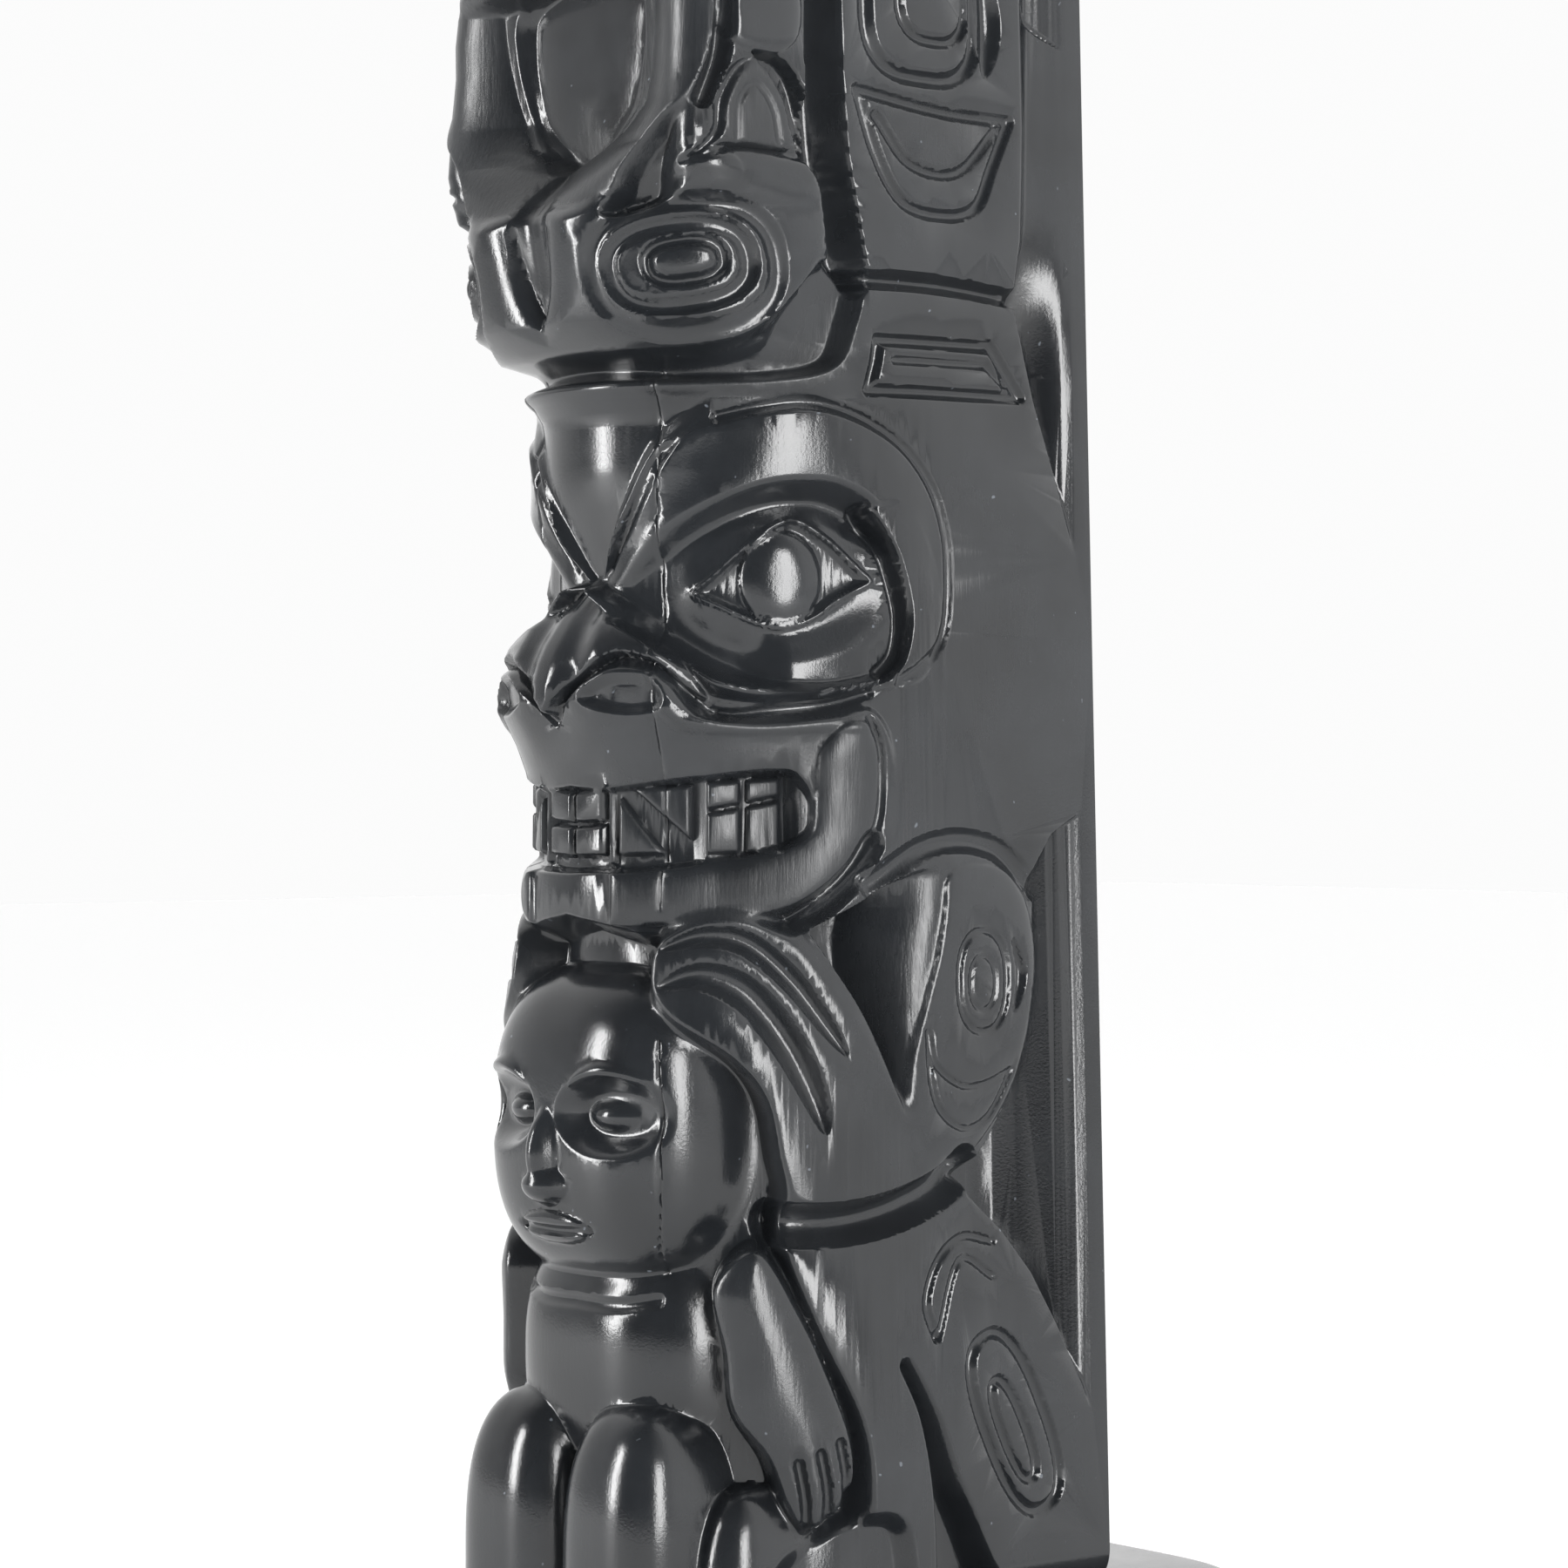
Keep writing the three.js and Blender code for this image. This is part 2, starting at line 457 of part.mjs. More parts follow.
function carveBearMouth() {
  const lip = (u, z) => {
    const upper = 0.2 + 0.34 * (z - 91) * (1 - 0.6 * ease((u - 28) / 10));
    const lower = along([[0, 0.9], [7, 0.9], [10, 0.4], [13, -0.2], [20, -1.3], [26, -1], [32, -0.3],
      [40, 0.2]], u);
    return mix(lower, upper, ease((z - 85) / 5));
  };

  const lips = drawn([[-12, 98], [10, 97.6], [17.6, 98], [25, 97.4], [32, 98], [37.6, 98.8], [40.4, 96],
    [41.2, 91], [40.2, 84], [36.4, 79.2], [30.6, 75.8], [20, 74.4], [9, 74.2], [-9, 74.2]], true);
  level(lips, lip, 1.4);
  const jaw = drawn([[7, 75, SHARP], [20, 75], [28.7, 76.4], [35, 81], [38, 85.4], [39.2, 91], [38.6, 95.4],
    [36.6, 97.6], [34, 97], [31.6, 94], [31.2, 89.4], [30.2, 86.4], [26, 84], [16, 82.2],
    [7, 81.6, SHARP]], true);
  pillow(jaw, 1.2, 3.4);
  groove(drawn([[28, 76], [32, 78.5], [35.2, 81], [37.6, 83.8], [39, 87], [39.4, 91], [38.9, 95], [37.4, 97.8]],
    false), 0.5, 0.7);
  level(drawn([[-10, 90.2], [5.4, 90], [17, 91.2], [27, 92], [29.8, 90.8], [31, 88], [29.2, 84.4], [18, 82.2],
    [6, 81.2], [-10, 82]], true), -1.3, 0.9);

  // teeth: block incisors, a fang from each jaw, then two molars
  const top = (u) => 89.8 + 0.06 * u;
  const foot = (u) => 82.6 + 0.025 * u;
  const middle = (u) => mix(foot(u), top(u), 0.5 + 0.014 * Math.max(u - 12, 0));
  const tooth = (...corners) => pillow([...corners, corners[0]], 1.0, 0.6);
  for (const [u0, u1] of [[0.25, 5.3], [18.5, 22.5], [23.1, 27.5]]) {
    tooth([u0, foot(u0)], [u1, foot(u1)], [u1, middle(u1) - 0.2], [u0, middle(u0) - 0.2]);
    tooth([u0, middle(u0) + 0.2], [u1, middle(u1) + 0.2], [u1, top(u1)], [u0, top(u0)]);
  }
  tooth([7.4, 82.8], [13.4, 83], [7.5, 89.4]);
  tooth([9.2, 90.2], [16.6, 90.6], [16.6, 84.4]);
  groove(drawn([[6.2, 90], [6.2, 86], [6.3, 82.2]], false), -0.9, 0.6);
}

function carveBearArm() {
  // the ledge and the dark groove under the jaw
  groove(drawn([[12, 73.8], [20, 74], [29, 76], [35, 80], [38, 84]], false), 1.6, 1.8);
  groove(drawn([[38, 79.6], [44.6, 83.4], [51, 84.4], [57, 83], [61.4, 79]], false), 1.3, 1.6);
  const arm = drawn([[41.6, 54], [42.8, 61.4], [45, 68.4], [47, 75], [49, 81], [55.6, 81.6], [60, 78.4],
    [61.6, 71], [60.2, 62.6], [56.4, 55], [49.6, 48.8], [40, 46], [36, 50]], true);
  pillow(arm, 0.9, 4.5);
  // the shell-shaped hollow between forearm and upper arm
  const hollow = drawn([[30.8, 74.6, SHARP], [33.6, 70.8], [36.8, 66.2], [39.2, 61.4], [41.8, 54.6, SHARP],
    [43, 61], [45, 67], [47, 73], [48, 79.4], [46.4, 81.2], [42, 80], [36, 77]], true);

  const shell = (u, z) => {
    const near = along([[55, 41.8], [61.6, 39.4], [66, 37.6], [70.4, 36.6], [74, 36.4], [80, 38.4]], z);
    const far = along([[55, 42.2], [61, 43.2], [67, 45.2], [73, 47.2], [80.6, 48.4]], z);
    const deepest = along([[55, 1.2], [60, 4.4], [66, 7], [77, 8], [81, 6]], z);
    return -deepest * (1 - clamp((u - near) / (far - near))) ** 1.6;
  };

  level(hollow, shell, 0.9);
  groove(ovoid(53, 68.8, 5.6, 3.6, 88, 2.3), 0.5, 0.6);
  groove(ovoid(53, 68.6, 3, 1.9, 88, 2.1), 0.35, 0.5);
  groove(drawn([[57.6, 73.6], [59, 69.4], [57.6, 65]], false), 1.1, 0.9, true);
  groove(drawn([[45, 63.4, SHARP], [45.8, 59.8], [49.4, 57.4], [53, 57.4], [57.2, 58.8, SHARP], [53.8, 54],
    [50, 52.6], [46.6, 54.4], [45.2, 58]], true), 0.5, 0.55);
  // the hand, laid over the head
  const hand = drawn([[12.8, 73.6], [16.3, 75.8], [21.3, 76.6], [26.3, 75.4], [30.4, 72.4], [36.3, 64.8],
    [40, 59.2], [43, 53], [43, 47], [36, 44.6], [29, 45], [26.6, 49], [25, 56], [21.4, 60.6], [14.4, 65.2],
    [12, 69.2]], true);
  level(hand, (u, z) => 1.2 - 0.7 * ease((u - 16) / 12), 2);
  groove(drawn([[13.4, 72.6], [18, 74], [23, 73.4], [28, 69.6], [32, 64.6], [34.6, 61]], false), 1.5,
    1.5, true);
  groove(drawn([[13.4, 68.6], [18, 69.8], [23, 68], [27.6, 62.8], [30.6, 57], [32, 52.6]], false), 2.0,
    2.1, true);
}

// ---- small crouching figure ----
function carveSmallFigure() {
  const niche = drawn([[-12, 73], [12, 73.4], [19, 70], [25.4, 61], [27.4, 49], [26.4, 41.6], [30.4, 31],
    [36, 19], [36, 6], [33, -8], [-20, -8], [-20, 40]], true);
  level(niche, -4.6, 2.4);
  const { x, y, z, rx, ry, rz, power } = HEAD;
  ball(x, y, z, rx, ry, rz, 1.2, power);
  ball(0, -14.5, 27, 17.6, 13.4, 16, 1.2, 2.6);
  groove(drawn([[-3, 33.6], [6, 33.4], [12, 34.2]], false), 0.5, 0.9);
  // each drawn-up leg: shin in front, thigh folded beside it
  ball(7.4, -22.2, 4, 7.2, 9.2, 18, 1, 2.6);
  ball(16.4, -17.4, 5, 6.4, 8.2, 18.6, 2, 2.6);
  const arm = drawn([[19.2, 36.4], [20.4, 29], [21.2, 22.6], [25, 17.6], [27, 12.6], [29.2, 9.8], [32.6, 10.8],
    [35.2, 14.6], [35.2, 19.4], [33, 25.6], [29.4, 33.4], [24.6, 40.6]], true);
  level(arm, -1, 1.6);
  pillow(arm, 1.5, 4.6);
  for (const lean of [0, 1, 2]) {
    const u = 28.6 + 2.3 * lean;
    groove(drawn([[u, 17.2 + lean], [u + 0.7, 13.4 + lean], [u + 0.9, 10.4 + lean * 0.8]], false), 1, 0.75);
  }
}

function carveSmallFace() {
  // A calm, plain face of ordinary proportions.
  const middle = HEAD.z + 1;
  level(ovoid(9, middle + 0.6, 6, 3.6, 0, 2), 0.6, 3);
  ball(7.4, -23.4, middle + 0.4, 5, 6.2, 2.7, 0.6);
  groove(drawn([[3.6, middle + 3.6], [8, middle + 5.4], [13.4, middle + 4.4]], false), -0.7, 1.2, true);
  ball(0, -27.5, middle - 4, 2.6, 6.4, 6.4, 1);
  ball(0, -29.8, middle - 7.4, 3.6, 4.2, 2.4, 0.8);
  pillow(ovoid(0, middle - 12.2, 5.6, 1.9, 0, 2), 0.9, 1.6);
  groove(drawn([[-5.4, middle - 12.2], [0, middle - 12.4], [5.4, middle - 12.2]], false), 0.8, 0.7);
}

function carveHindLeg() {
  groove(drawn([[26, 43], [33, 42.8], [40, 43.8], [46.6, 46], [50, 48.4]], false), 3.2, 2.6);
  groove(drawn([[46, 29.6], [44.6, 33.6], [46.4, 38.2], [50, 40.6], [54.4, 39.8]], false), 0.6, 0.7);
  groove(drawn([[46.2, 29.6], [49.4, 38], [54.4, 35.9]], false), 0.5, 0.6);
  groove(ovoid(57.4, 19.4, 10.8, 4.4, -65, 2.6), 0.9, 0.9);
  groove(ovoid(57.2, 18.6, 6.2, 1.7, -65, 2.4), 0.8, 0.8);
  level(drawn([[41.8, 27], [44.4, 21.4], [46, 13.4], [46.4, 4], [46.4, -6], [57, -6], [52, 6], [48.6, 13],
    [45.6, 20.6]], true), -4, 2.4);
  level(drawn([[26, 4], [31, 8.6], [36, 10.4], [40.6, 9.8], [42, 5], [42, -6], [26, -6]], true), -2.2,
    2.4);
}

function carve() {
  carveCove();
  carveUpperHead();
  carveUpperBody();
  carveSideFin();
  carveEar();
  carveBearFace();
  carveBearMouth();
  carveBearNose();
  carveSmallFigure();
  carveSmallFace();
  carveBearArm();
  carveHindLeg();
}

function relief(u, z, place) {
  let h = 0;
  for (const { box, change } of cuts) {
    if (!outsideBox(box, u, z)) h = change(u, z, h, place);
  }
  // the slab's back corner stays a plain straight edge
  return h * ease((SHEET_WIDTH - u) / 0.8);
}

// ---- from the sheet to triangles ----
// The sheet is halved again and again along the longest side of each triangle, and only where the
// surface bends by more than the tolerance, so the triangles gather at the carved edges.
function carvedSheet() {
  const columns = TILE_CELLS + 1;
  const rows = TILE_CELLS * TILES_HIGH + 1;
  const points = [];
  for (let j = 0; j < rows; j += 1) {
    for (let i = 0; i < columns; i += 1) {
      const u = (i / TILE_CELLS) * SHEET_WIDTH;
      const z = (j / (rows - 1)) * POLE_HEIGHT;
      const point = carvedPoint(u, z);
      if (i === 0) point[0] = 0;
      points.push(point);
    }
  }
  const at = (i, j) => j * columns + i;
  const centre = (a, b) => {
    const i = ((a % columns) + (b % columns)) / 2;
    const j = (Math.floor(a / columns) + Math.floor(b / columns)) / 2;
    return at(i, j);
  };

  const levels = [[]];
  for (let tile = 0; tile < TILES_HIGH; tile += 1) {
    const low = tile * TILE_CELLS;
    const corners = [at(0, low), at(TILE_CELLS, low), at(TILE_CELLS, low + TILE_CELLS), at(0, low + TILE_CELLS)];
    levels[0].push([corners[0], corners[2], corners[3]], [corners[2], corners[0], corners[1]]);
  }
  const halve = ([a, b, c]) => {
    const m = centre(a, b);
    return [[c, a, m], [b, c, m]];
  };
  const halvings = Math.log2(TILE_CELLS) * 2;
  for (let k = 1; k < halvings; k += 1) levels.push(levels[k - 1].flatMap(halve));

  // each midpoint's error is at least that of the midpoints below it, so no edge is left half split
  const error = new Float64Array(points.length);
  for (let k = halvings - 1; k >= 0; k -= 1) {
    for (const [a, b, c] of levels[k]) {
      const m = centre(a, b);
      const [pa, pb, pm] = [points[a], points[b], points[m]];
      const off = Math.hypot(
        pm[0] - (pa[0] + pb[0]) / 2, pm[1] - (pa[1] + pb[1]) / 2, pm[2] - (pa[2] + pb[2]) / 2);
      error[m] = Math.max(error[m], off);
      if (k < halvings - 1) error[m] = Math.max(error[m], error[centre(c, a)], error[centre(b, c)]);
    }
  }

  const gather = (tolerance) => {
    const kept = [];
    const visit = (triangle, k) => {
      const m = centre(triangle[0], triangle[1]);
      if (k < halvings && error[m] > tolerance) halve(triangle).forEach((half) => visit(half, k + 1));
      else kept.push(triangle);
    };
    levels[0].forEach((triangle) => visit(triangle, 0));
    return kept;
  };
  let tolerance = 0.02;
  let triangles = gather(tolerance);
  while (triangles.length > TRIANGLE_BUDGET) {
    tolerance *= 1.03;
    triangles = gather(tolerance);
  }
  return { points, triangles, columns, rows };
}

function poleGeometry() {
  carve();
  const { points, triangles, columns, rows } = carvedSheet();
  const positions = [];
  const used = new Set(triangles.flat());
  const right = (index) => points[index];
  const left = (index) => [-points[index][0], points[index][1], points[index][2]];
  const add = (a, b, c) => positions.push(...a, ...b, ...c);
  for (const [a, b, c] of triangles) {
    add(right(a), right(b), right(c));
    add(left(a), left(c), left(b));
  }
  // the flat back, a strip between the two back corners
  const corner = [];
  for (let j = 0; j < rows; j += 1) {
    const index = j * columns + columns - 1;
    if (used.has(index)) corner.push(index);
  }
  for (let k = 1; k < corner.length; k += 1) {
    add(right(corner[k - 1]), left(corner[k - 1]), left(corner[k]));
    add(right(corner[k - 1]), left(corner[k]), right(corner[k]));
  }
  // the flat foot and the flat top
  for (const [row, up] of [[0, false], [rows - 1, true]]) {
    const rim = [];
    for (let i = columns - 1; i >= 0; i -= 1) {
      const index = row * columns + i;
      if (used.has(index)) rim.push(right(index));
    }
    for (let k = rim.length - 2; k >= 0; k -= 1) rim.push([-rim[k][0], rim[k][1], rim[k][2]]);
    const flat = rim.map(([x, y]) => new THREE.Vector2(x, y));
    for (const [a, b, c] of THREE.ShapeUtils.triangulateShape(flat, [])) {
      const facesUp = !THREE.ShapeUtils.isClockWise([flat[a], flat[b], flat[c]]);
      if (facesUp === up) add(rim[a], rim[b], rim[c]);
      else add(rim[a], rim[c], rim[b]);
    }
  }
  const geometry = new THREE.BufferGeometry();
  geometry.setAttribute('position', new THREE.Float32BufferAttribute(positions, 3));
  return mergeVertices(geometry, 1e-4);
}

// ---- plinth: a low slab, rounded in front and squarer behind, with softened edges ----
function plinthRing(inset, z) {
  const ring = [];
  for (let i = 0; i < PLINTH_SIDES; i += 1) {
    const angle = (i / PLINTH_SIDES) * Math.PI * 2;
    const c = Math.cos(angle);
    const s = Math.sin(angle);
    const back = s > 0;
    const power = 2 / (back ? PLINTH_BACK_SQUARENESS : PLINTH_FRONT_SQUARENESS);
    const reach = PLINTH_DEPTH / 2 + (back ? -PLINTH_WIDEST_Y : PLINTH_WIDEST_Y) - inset;
    ring.push([
      (PLINTH_WIDTH / 2 - inset) * Math.sign(c) * Math.abs(c) ** power,
      PLINTH_WIDEST_Y + reach * Math.sign(s) * Math.abs(s) ** power,
      z,
    ]);
  }
  return ring;
}

function plinthGeometry() {
  const round = PLINTH_EDGE_ROUND;
  const rings = [
    plinthRing(round * 0.4, 0),
    plinthRing(0, round * 0.4),
    plinthRing(0, PLINTH_THICKNESS - round),
    plinthRing(round * 0.3, PLINTH_THICKNESS - round * 0.3),
    plinthRing(round, PLINTH_THICKNESS),
  ];
  const positions = [];
  const add = (a, b, c) => positions.push(...a, ...b, ...c);
  for (let k = 1; k < rings.length; k += 1) {
    for (let i = 0; i < PLINTH_SIDES; i += 1) {
      const next = (i + 1) % PLINTH_SIDES;
      add(rings[k - 1][i], rings[k - 1][next], rings[k][next]);
      add(rings[k - 1][i], rings[k][next], rings[k][i]);
    }
  }
  const top = rings[rings.length - 1];
  for (let i = 1; i < PLINTH_SIDES - 1; i += 1) {
    add(rings[0][0], rings[0][i + 1], rings[0][i]);
    add(top[0], top[i], top[i + 1]);
  }
  const geometry = new THREE.BufferGeometry();
  geometry.setAttribute('position', new THREE.Float32BufferAttribute(positions, 3));
  return mergeVertices(geometry, 1e-4);
}

function namedMesh(name, geometry, y, height) {
  geometry.computeVertexNormals();
  const mesh = new THREE.Mesh(geometry, stone());
  mesh.name = name;
  mesh.position.set(0, y, height);
  return mesh;
}

const group = new THREE.Group();
group.add(namedMesh('plinth', plinthGeometry(), 0, 0));
group.add(namedMesh('pole', poleGeometry(), POLE_Y, PLINTH_THICKNESS + REST_GAP));

export default group;
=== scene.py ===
"""Carved black argillite model totem pole on a low polished plinth.

The pole is carved as relief over one unrolled sheet that wraps the front and one side of the block:
u is the distance round from the front's centre line, z the height above the plinth, both in
millimetres, and every form is a height square to the block. The other side is its mirror image.
"""
import math

import bmesh
import bpy
import numpy as np
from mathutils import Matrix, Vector


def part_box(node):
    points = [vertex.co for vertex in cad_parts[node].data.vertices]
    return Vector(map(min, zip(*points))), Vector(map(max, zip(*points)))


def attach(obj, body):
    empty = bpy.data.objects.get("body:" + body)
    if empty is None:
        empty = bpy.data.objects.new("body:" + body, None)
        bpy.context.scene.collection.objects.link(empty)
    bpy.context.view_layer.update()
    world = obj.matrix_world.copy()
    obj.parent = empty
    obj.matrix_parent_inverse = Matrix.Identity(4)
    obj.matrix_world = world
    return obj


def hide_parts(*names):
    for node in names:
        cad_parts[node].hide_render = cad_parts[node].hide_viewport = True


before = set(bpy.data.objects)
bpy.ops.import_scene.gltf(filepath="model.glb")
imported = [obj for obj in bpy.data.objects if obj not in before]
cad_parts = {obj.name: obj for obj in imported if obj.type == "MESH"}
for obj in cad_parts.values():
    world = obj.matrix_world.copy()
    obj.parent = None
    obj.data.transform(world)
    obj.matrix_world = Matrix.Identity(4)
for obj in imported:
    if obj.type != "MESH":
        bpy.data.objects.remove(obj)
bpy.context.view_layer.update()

bl_info = {
    "name": "Argillite Totem Pole",
    "version": (1, 0, 0),
    "blender": (4, 5, 0),
    "location": "View3D > Sidebar > Totem Pole",
    "description": "Builds a carved stone model pole with its plinth and a studio stage",
    "category": "Add Mesh",
}

MM = 0.001
POLE_LOW, POLE_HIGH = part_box("pole")
PLINTH_LOW, PLINTH_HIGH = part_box("plinth")

# ---- the uncarved block, in millimetres ----
FOOT_Z = POLE_LOW.z / MM
POLE_HEIGHT = (POLE_HIGH.z - POLE_LOW.z) / MM
BACK_Y = 27.0
POLE_Y = POLE_HIGH.y / MM - BACK_Y  # the pole stands forward of the plinth's middle
SECTION_CENTRE_Y = 5.0
FOOT_HALF_WIDTH = 29.0
TAPER = 0.0283
ROUND_PART = 49.6  # sheet width of the curved front quarter
SHEET_WIDTH = 71.6
CROWN_ROUND = 9.0
CROWN_INSET = 6.0

# how far the front stands before the section's centre, and how square its shoulders are, by height
FRONT_REACH = [(0, 33), (133, 33), (137, 33.5), (141, 37), (149, 38.7), (153, 39.3), (156, 38.6),
               (160, 37.4), (178, 36), (186, 35), (196, 33.5), (243, 33)]
SQUARENESS = [(0, 2.62), (60, 2.58), (68, 2.3), (75, 2), (133, 2), (139, 2.8), (149, 2.8), (153, 3),
              (156, 4.2), (160, 7), (178, 7), (186, 4), (196, 2.5), (243, 2.4)]

# rear edge of the carved figures, as (height, distance round); behind it lies the cove
FIGURE_REAR = [(0, 71.6), (16, 70.5), (23, 67.5), (30, 63.8), (36, 60), (41, 55.5), (45, 50.5),
               (47, 49.5), (51, 53.5), (56, 57.3), (63, 60), (70, 61.3), (76, 61.3), (81, 61.5),
               (85, 64.5), (89, 71.6), (110, 71.6), (118, 68.5), (125, 66.3), (134, 63), (145, 60),
               (152, 61.3), (165, 61.9), (243, 62)]
# how deep the cove is, by the distance from the slab's edge
COVE_FLANGE = [(0, 0), (2.2, 0), (3.5, 0.7), (4.4, 1.6), (5.4, 2.8), (8, 5.9), (10, 7.9), (13, 9), (18, 9.2)]
COVE_TOP = 228.0
COVE_TOP_FADE = 8.0
COVE_SHALLOW_FROM = 134.0  # above this height the cove grows shallower
COVE_SHALLOW_OVER = 22.0
COVE_SHALLOW_BY = 0.76
COVE_WALL = 0.25  # share of the cove's width taken by its front wall
SLAB_STRIP = 0.8  # the slab's last strip stays uncut
FOOT_CORNER = 4.0  # worn rounding of the slab's lowest corner
FOOT_INSET = 0.7 * FOOT_CORNER
FOOT_WORN_FROM = 45.0  # distance round where the wear sets in
FOOT_WORN_OVER = 12.0

# how bright the studio walls are, by the angle round from the front of the pole
WALL_LIGHT = [(-180, 1.0), (-110, 0.95), (-60, 0.55), (-40, 0.2), (-15, 0.04), (45, 0.04), (60, 0.12),
              (88, 0.5), (102, 1.0), (180, 1.0)]

WALL_STRENGTH = 1.3
BACKDROP_GREY = 0.97
FLOOR_SIZE = 6.0
FLOOR_GREY = 0.9
FLOOR_ROUGHNESS = 0.6
FLOOR_GLOW = 0.2
LAMP_DISTANCE = 0.9
LEFT_LAMP = dict(azimuth=-27, elevation=12, width=0.17, height=0.5)
RIGHT_LAMP = dict(azimuth=73, elevation=9, width=0.26, height=0.5)

HEAD = dict(x=0, y=-17, z=53, rx=17.6, ry=14.6, rz=18.4, power=2.8)  # the small figure's head


# ---- small helpers on arrays ----
def clamp(t):
    return np.clip(t, 0.0, 1.0)


def ease(t):
    t = clamp(t)
    return t * t * (3 - 2 * t)


def quarter_round(t):
    return np.sqrt(1 - (1 - clamp(t)) ** 2)


def mix(a, b, t):
    return a + (b - a) * t


def soft_max(a, b, width):
    t = clamp(0.5 + 0.5 * (a - b) / width)
    return mix(b, a, t) + width * t * (1 - t)


def knots(pairs, x):
    return np.interp(x, [p[0] for p in pairs], [p[1] for p in pairs])


# ---- the block's section ----
def section_row(us, z):
    """Points of the uncarved block at one height: a superellipse in front, then a straight side."""
    half = FOOT_HALF_WIDTH - TAPER * z
    reach = knots(FRONT_REACH, z)
    power = knots(SQUARENESS, z)
    angle = np.linspace(0, math.pi / 2, 700)
    ray = ((np.sin(angle) / half) ** power + (np.cos(angle) / reach) ** power) ** (-1 / power)
    x = ray * np.sin(angle)
    y = SECTION_CENTRE_Y - ray * np.cos(angle)
    along = np.concatenate([[0], np.cumsum(np.hypot(np.diff(x), np.diff(y)))])
    along *= ROUND_PART / along[-1]
    side = np.maximum(us - ROUND_PART, 0)
    return np.interp(us, along, x), np.interp(us, along, y) + side


def block_surface(us, zs):
    """Points of the uncarved block and its outward directions over a grid of the sheet."""
    x = np.empty((len(zs), len(us)))
    y = np.empty_like(x)
    nx, ny = np.empty_like(x), np.empty_like(x)
    step = 0.1
    for row, z in enumerate(zs):
        x[row], y[row] = section_row(us, z)
        x0, y0 = section_row(np.maximum(us - step, 0), z)
        x1, y1 = section_row(us + step, z)
        length = np.hypot(x1 - x0, y1 - y0)
        nx[row], ny[row] = (y1 - y0) / length, (x0 - x1) / length
    nx[:, 0], ny[:, 0] = 0, -1
    return x, y, nx, ny


# ---- outlines and lines on the sheet ----
def drawn(*points, closed=False, steps=6):
    """A smooth line through the points; a point given as a list is a sharp corner."""
    points = list(points)
    if closed:
        points = points + [points[0]]
    corners = [i for i, p in enumerate(points) if isinstance(p, list)]
    if closed and not corners:
        ring = [np.array(p, float) for p in points[:-1]]
        return smooth_run([ring[-1]] + ring + [ring[0], ring[1]], steps)
    stops = sorted({0, len(points) - 1, *corners})
    runs = []
    for a, b in zip(stops, stops[1:]):
        run = [np.array(p, float) for p in points[a:b + 1]]
        if closed and a == 0 and 0 not in corners:
            first = np.array(points[-2], float)
        else:
            first = 2 * run[0] - run[1]
        last = np.array(points[1], float) if closed and b == len(points) - 1 and b not in corners \
            and 0 not in corners else 2 * run[-1] - run[-2]
        piece = smooth_run([first] + run + [last], steps)
        runs.append(piece if not runs else piece[1:])
    return np.concatenate(runs)


def loop(*points):
    """A closed smooth outline."""
    return drawn(*points, closed=True)


def smooth_run(p, steps):
    """Catmull-Rom curve through all but the first and last of the points."""
    out = []
    for i in range(1, len(p) - 2):
        for k in range(steps):
            t = k / steps
            out.append(0.5 * (2 * p[i] + (p[i + 1] - p[i - 1]) * t
                              + (2 * p[i - 1] - 5 * p[i] + 4 * p[i + 1] - p[i + 2]) * t * t
                              + (3 * p[i] - p[i - 1] - 3 * p[i + 1] + p[i + 2]) * t ** 3))
    out.append(p[-2])
    return np.array(out)


def ovoid(u, z, half_long, half_short, tilt=0.0, squareness=2.6):
    """The rounded box shape of this carving tradition, as a closed line."""
    angle = np.linspace(0, 2 * math.pi, 49)
    c, s = np.cos(angle), np.sin(angle)
    a = half_long * np.sign(c) * np.abs(c) ** (2 / squareness)
    b = half_short * np.sign(s) * np.abs(s) ** (2 / squareness)
    turn = math.radians(tilt)
    return np.stack([u + a * math.cos(turn) - b * math.sin(turn),
                     z + a * math.sin(turn) + b * math.cos(turn)], axis=1)


def nearest(path, u, z):
    """Distance to a line, and how far along it the nearest point lies, from 0 to 1."""
    best = np.full(u.shape, 1e9)
    at = np.zeros(u.shape)
    count = len(path) - 1
    for i in range(count):
        (u0, z0), (u1, z1) = path[i], path[i + 1]
        du, dz = u1 - u0, z1 - z0
        t = clamp(((u - u0) * du + (z - z0) * dz) / max(du * du + dz * dz, 1e-12))
        d = np.hypot(u - u0 - t * du, z - z0 - t * dz)
        closer = d < best
        best = np.where(closer, d, best)
        at = np.where(closer, (i + t) / count, at)
    return best, at


def inside(path, u, z):
    found = np.zeros(u.shape, bool)
    for (u0, z0), (u1, z1) in zip(path, np.roll(path, 1, axis=0)):
        if z0 == z1:
            continue
        crosses = ((z0 > z) != (z1 > z)) & (u < (u1 - u0) * (z - z0) / (z1 - z0) + u0)
        found ^= crosses
    return found


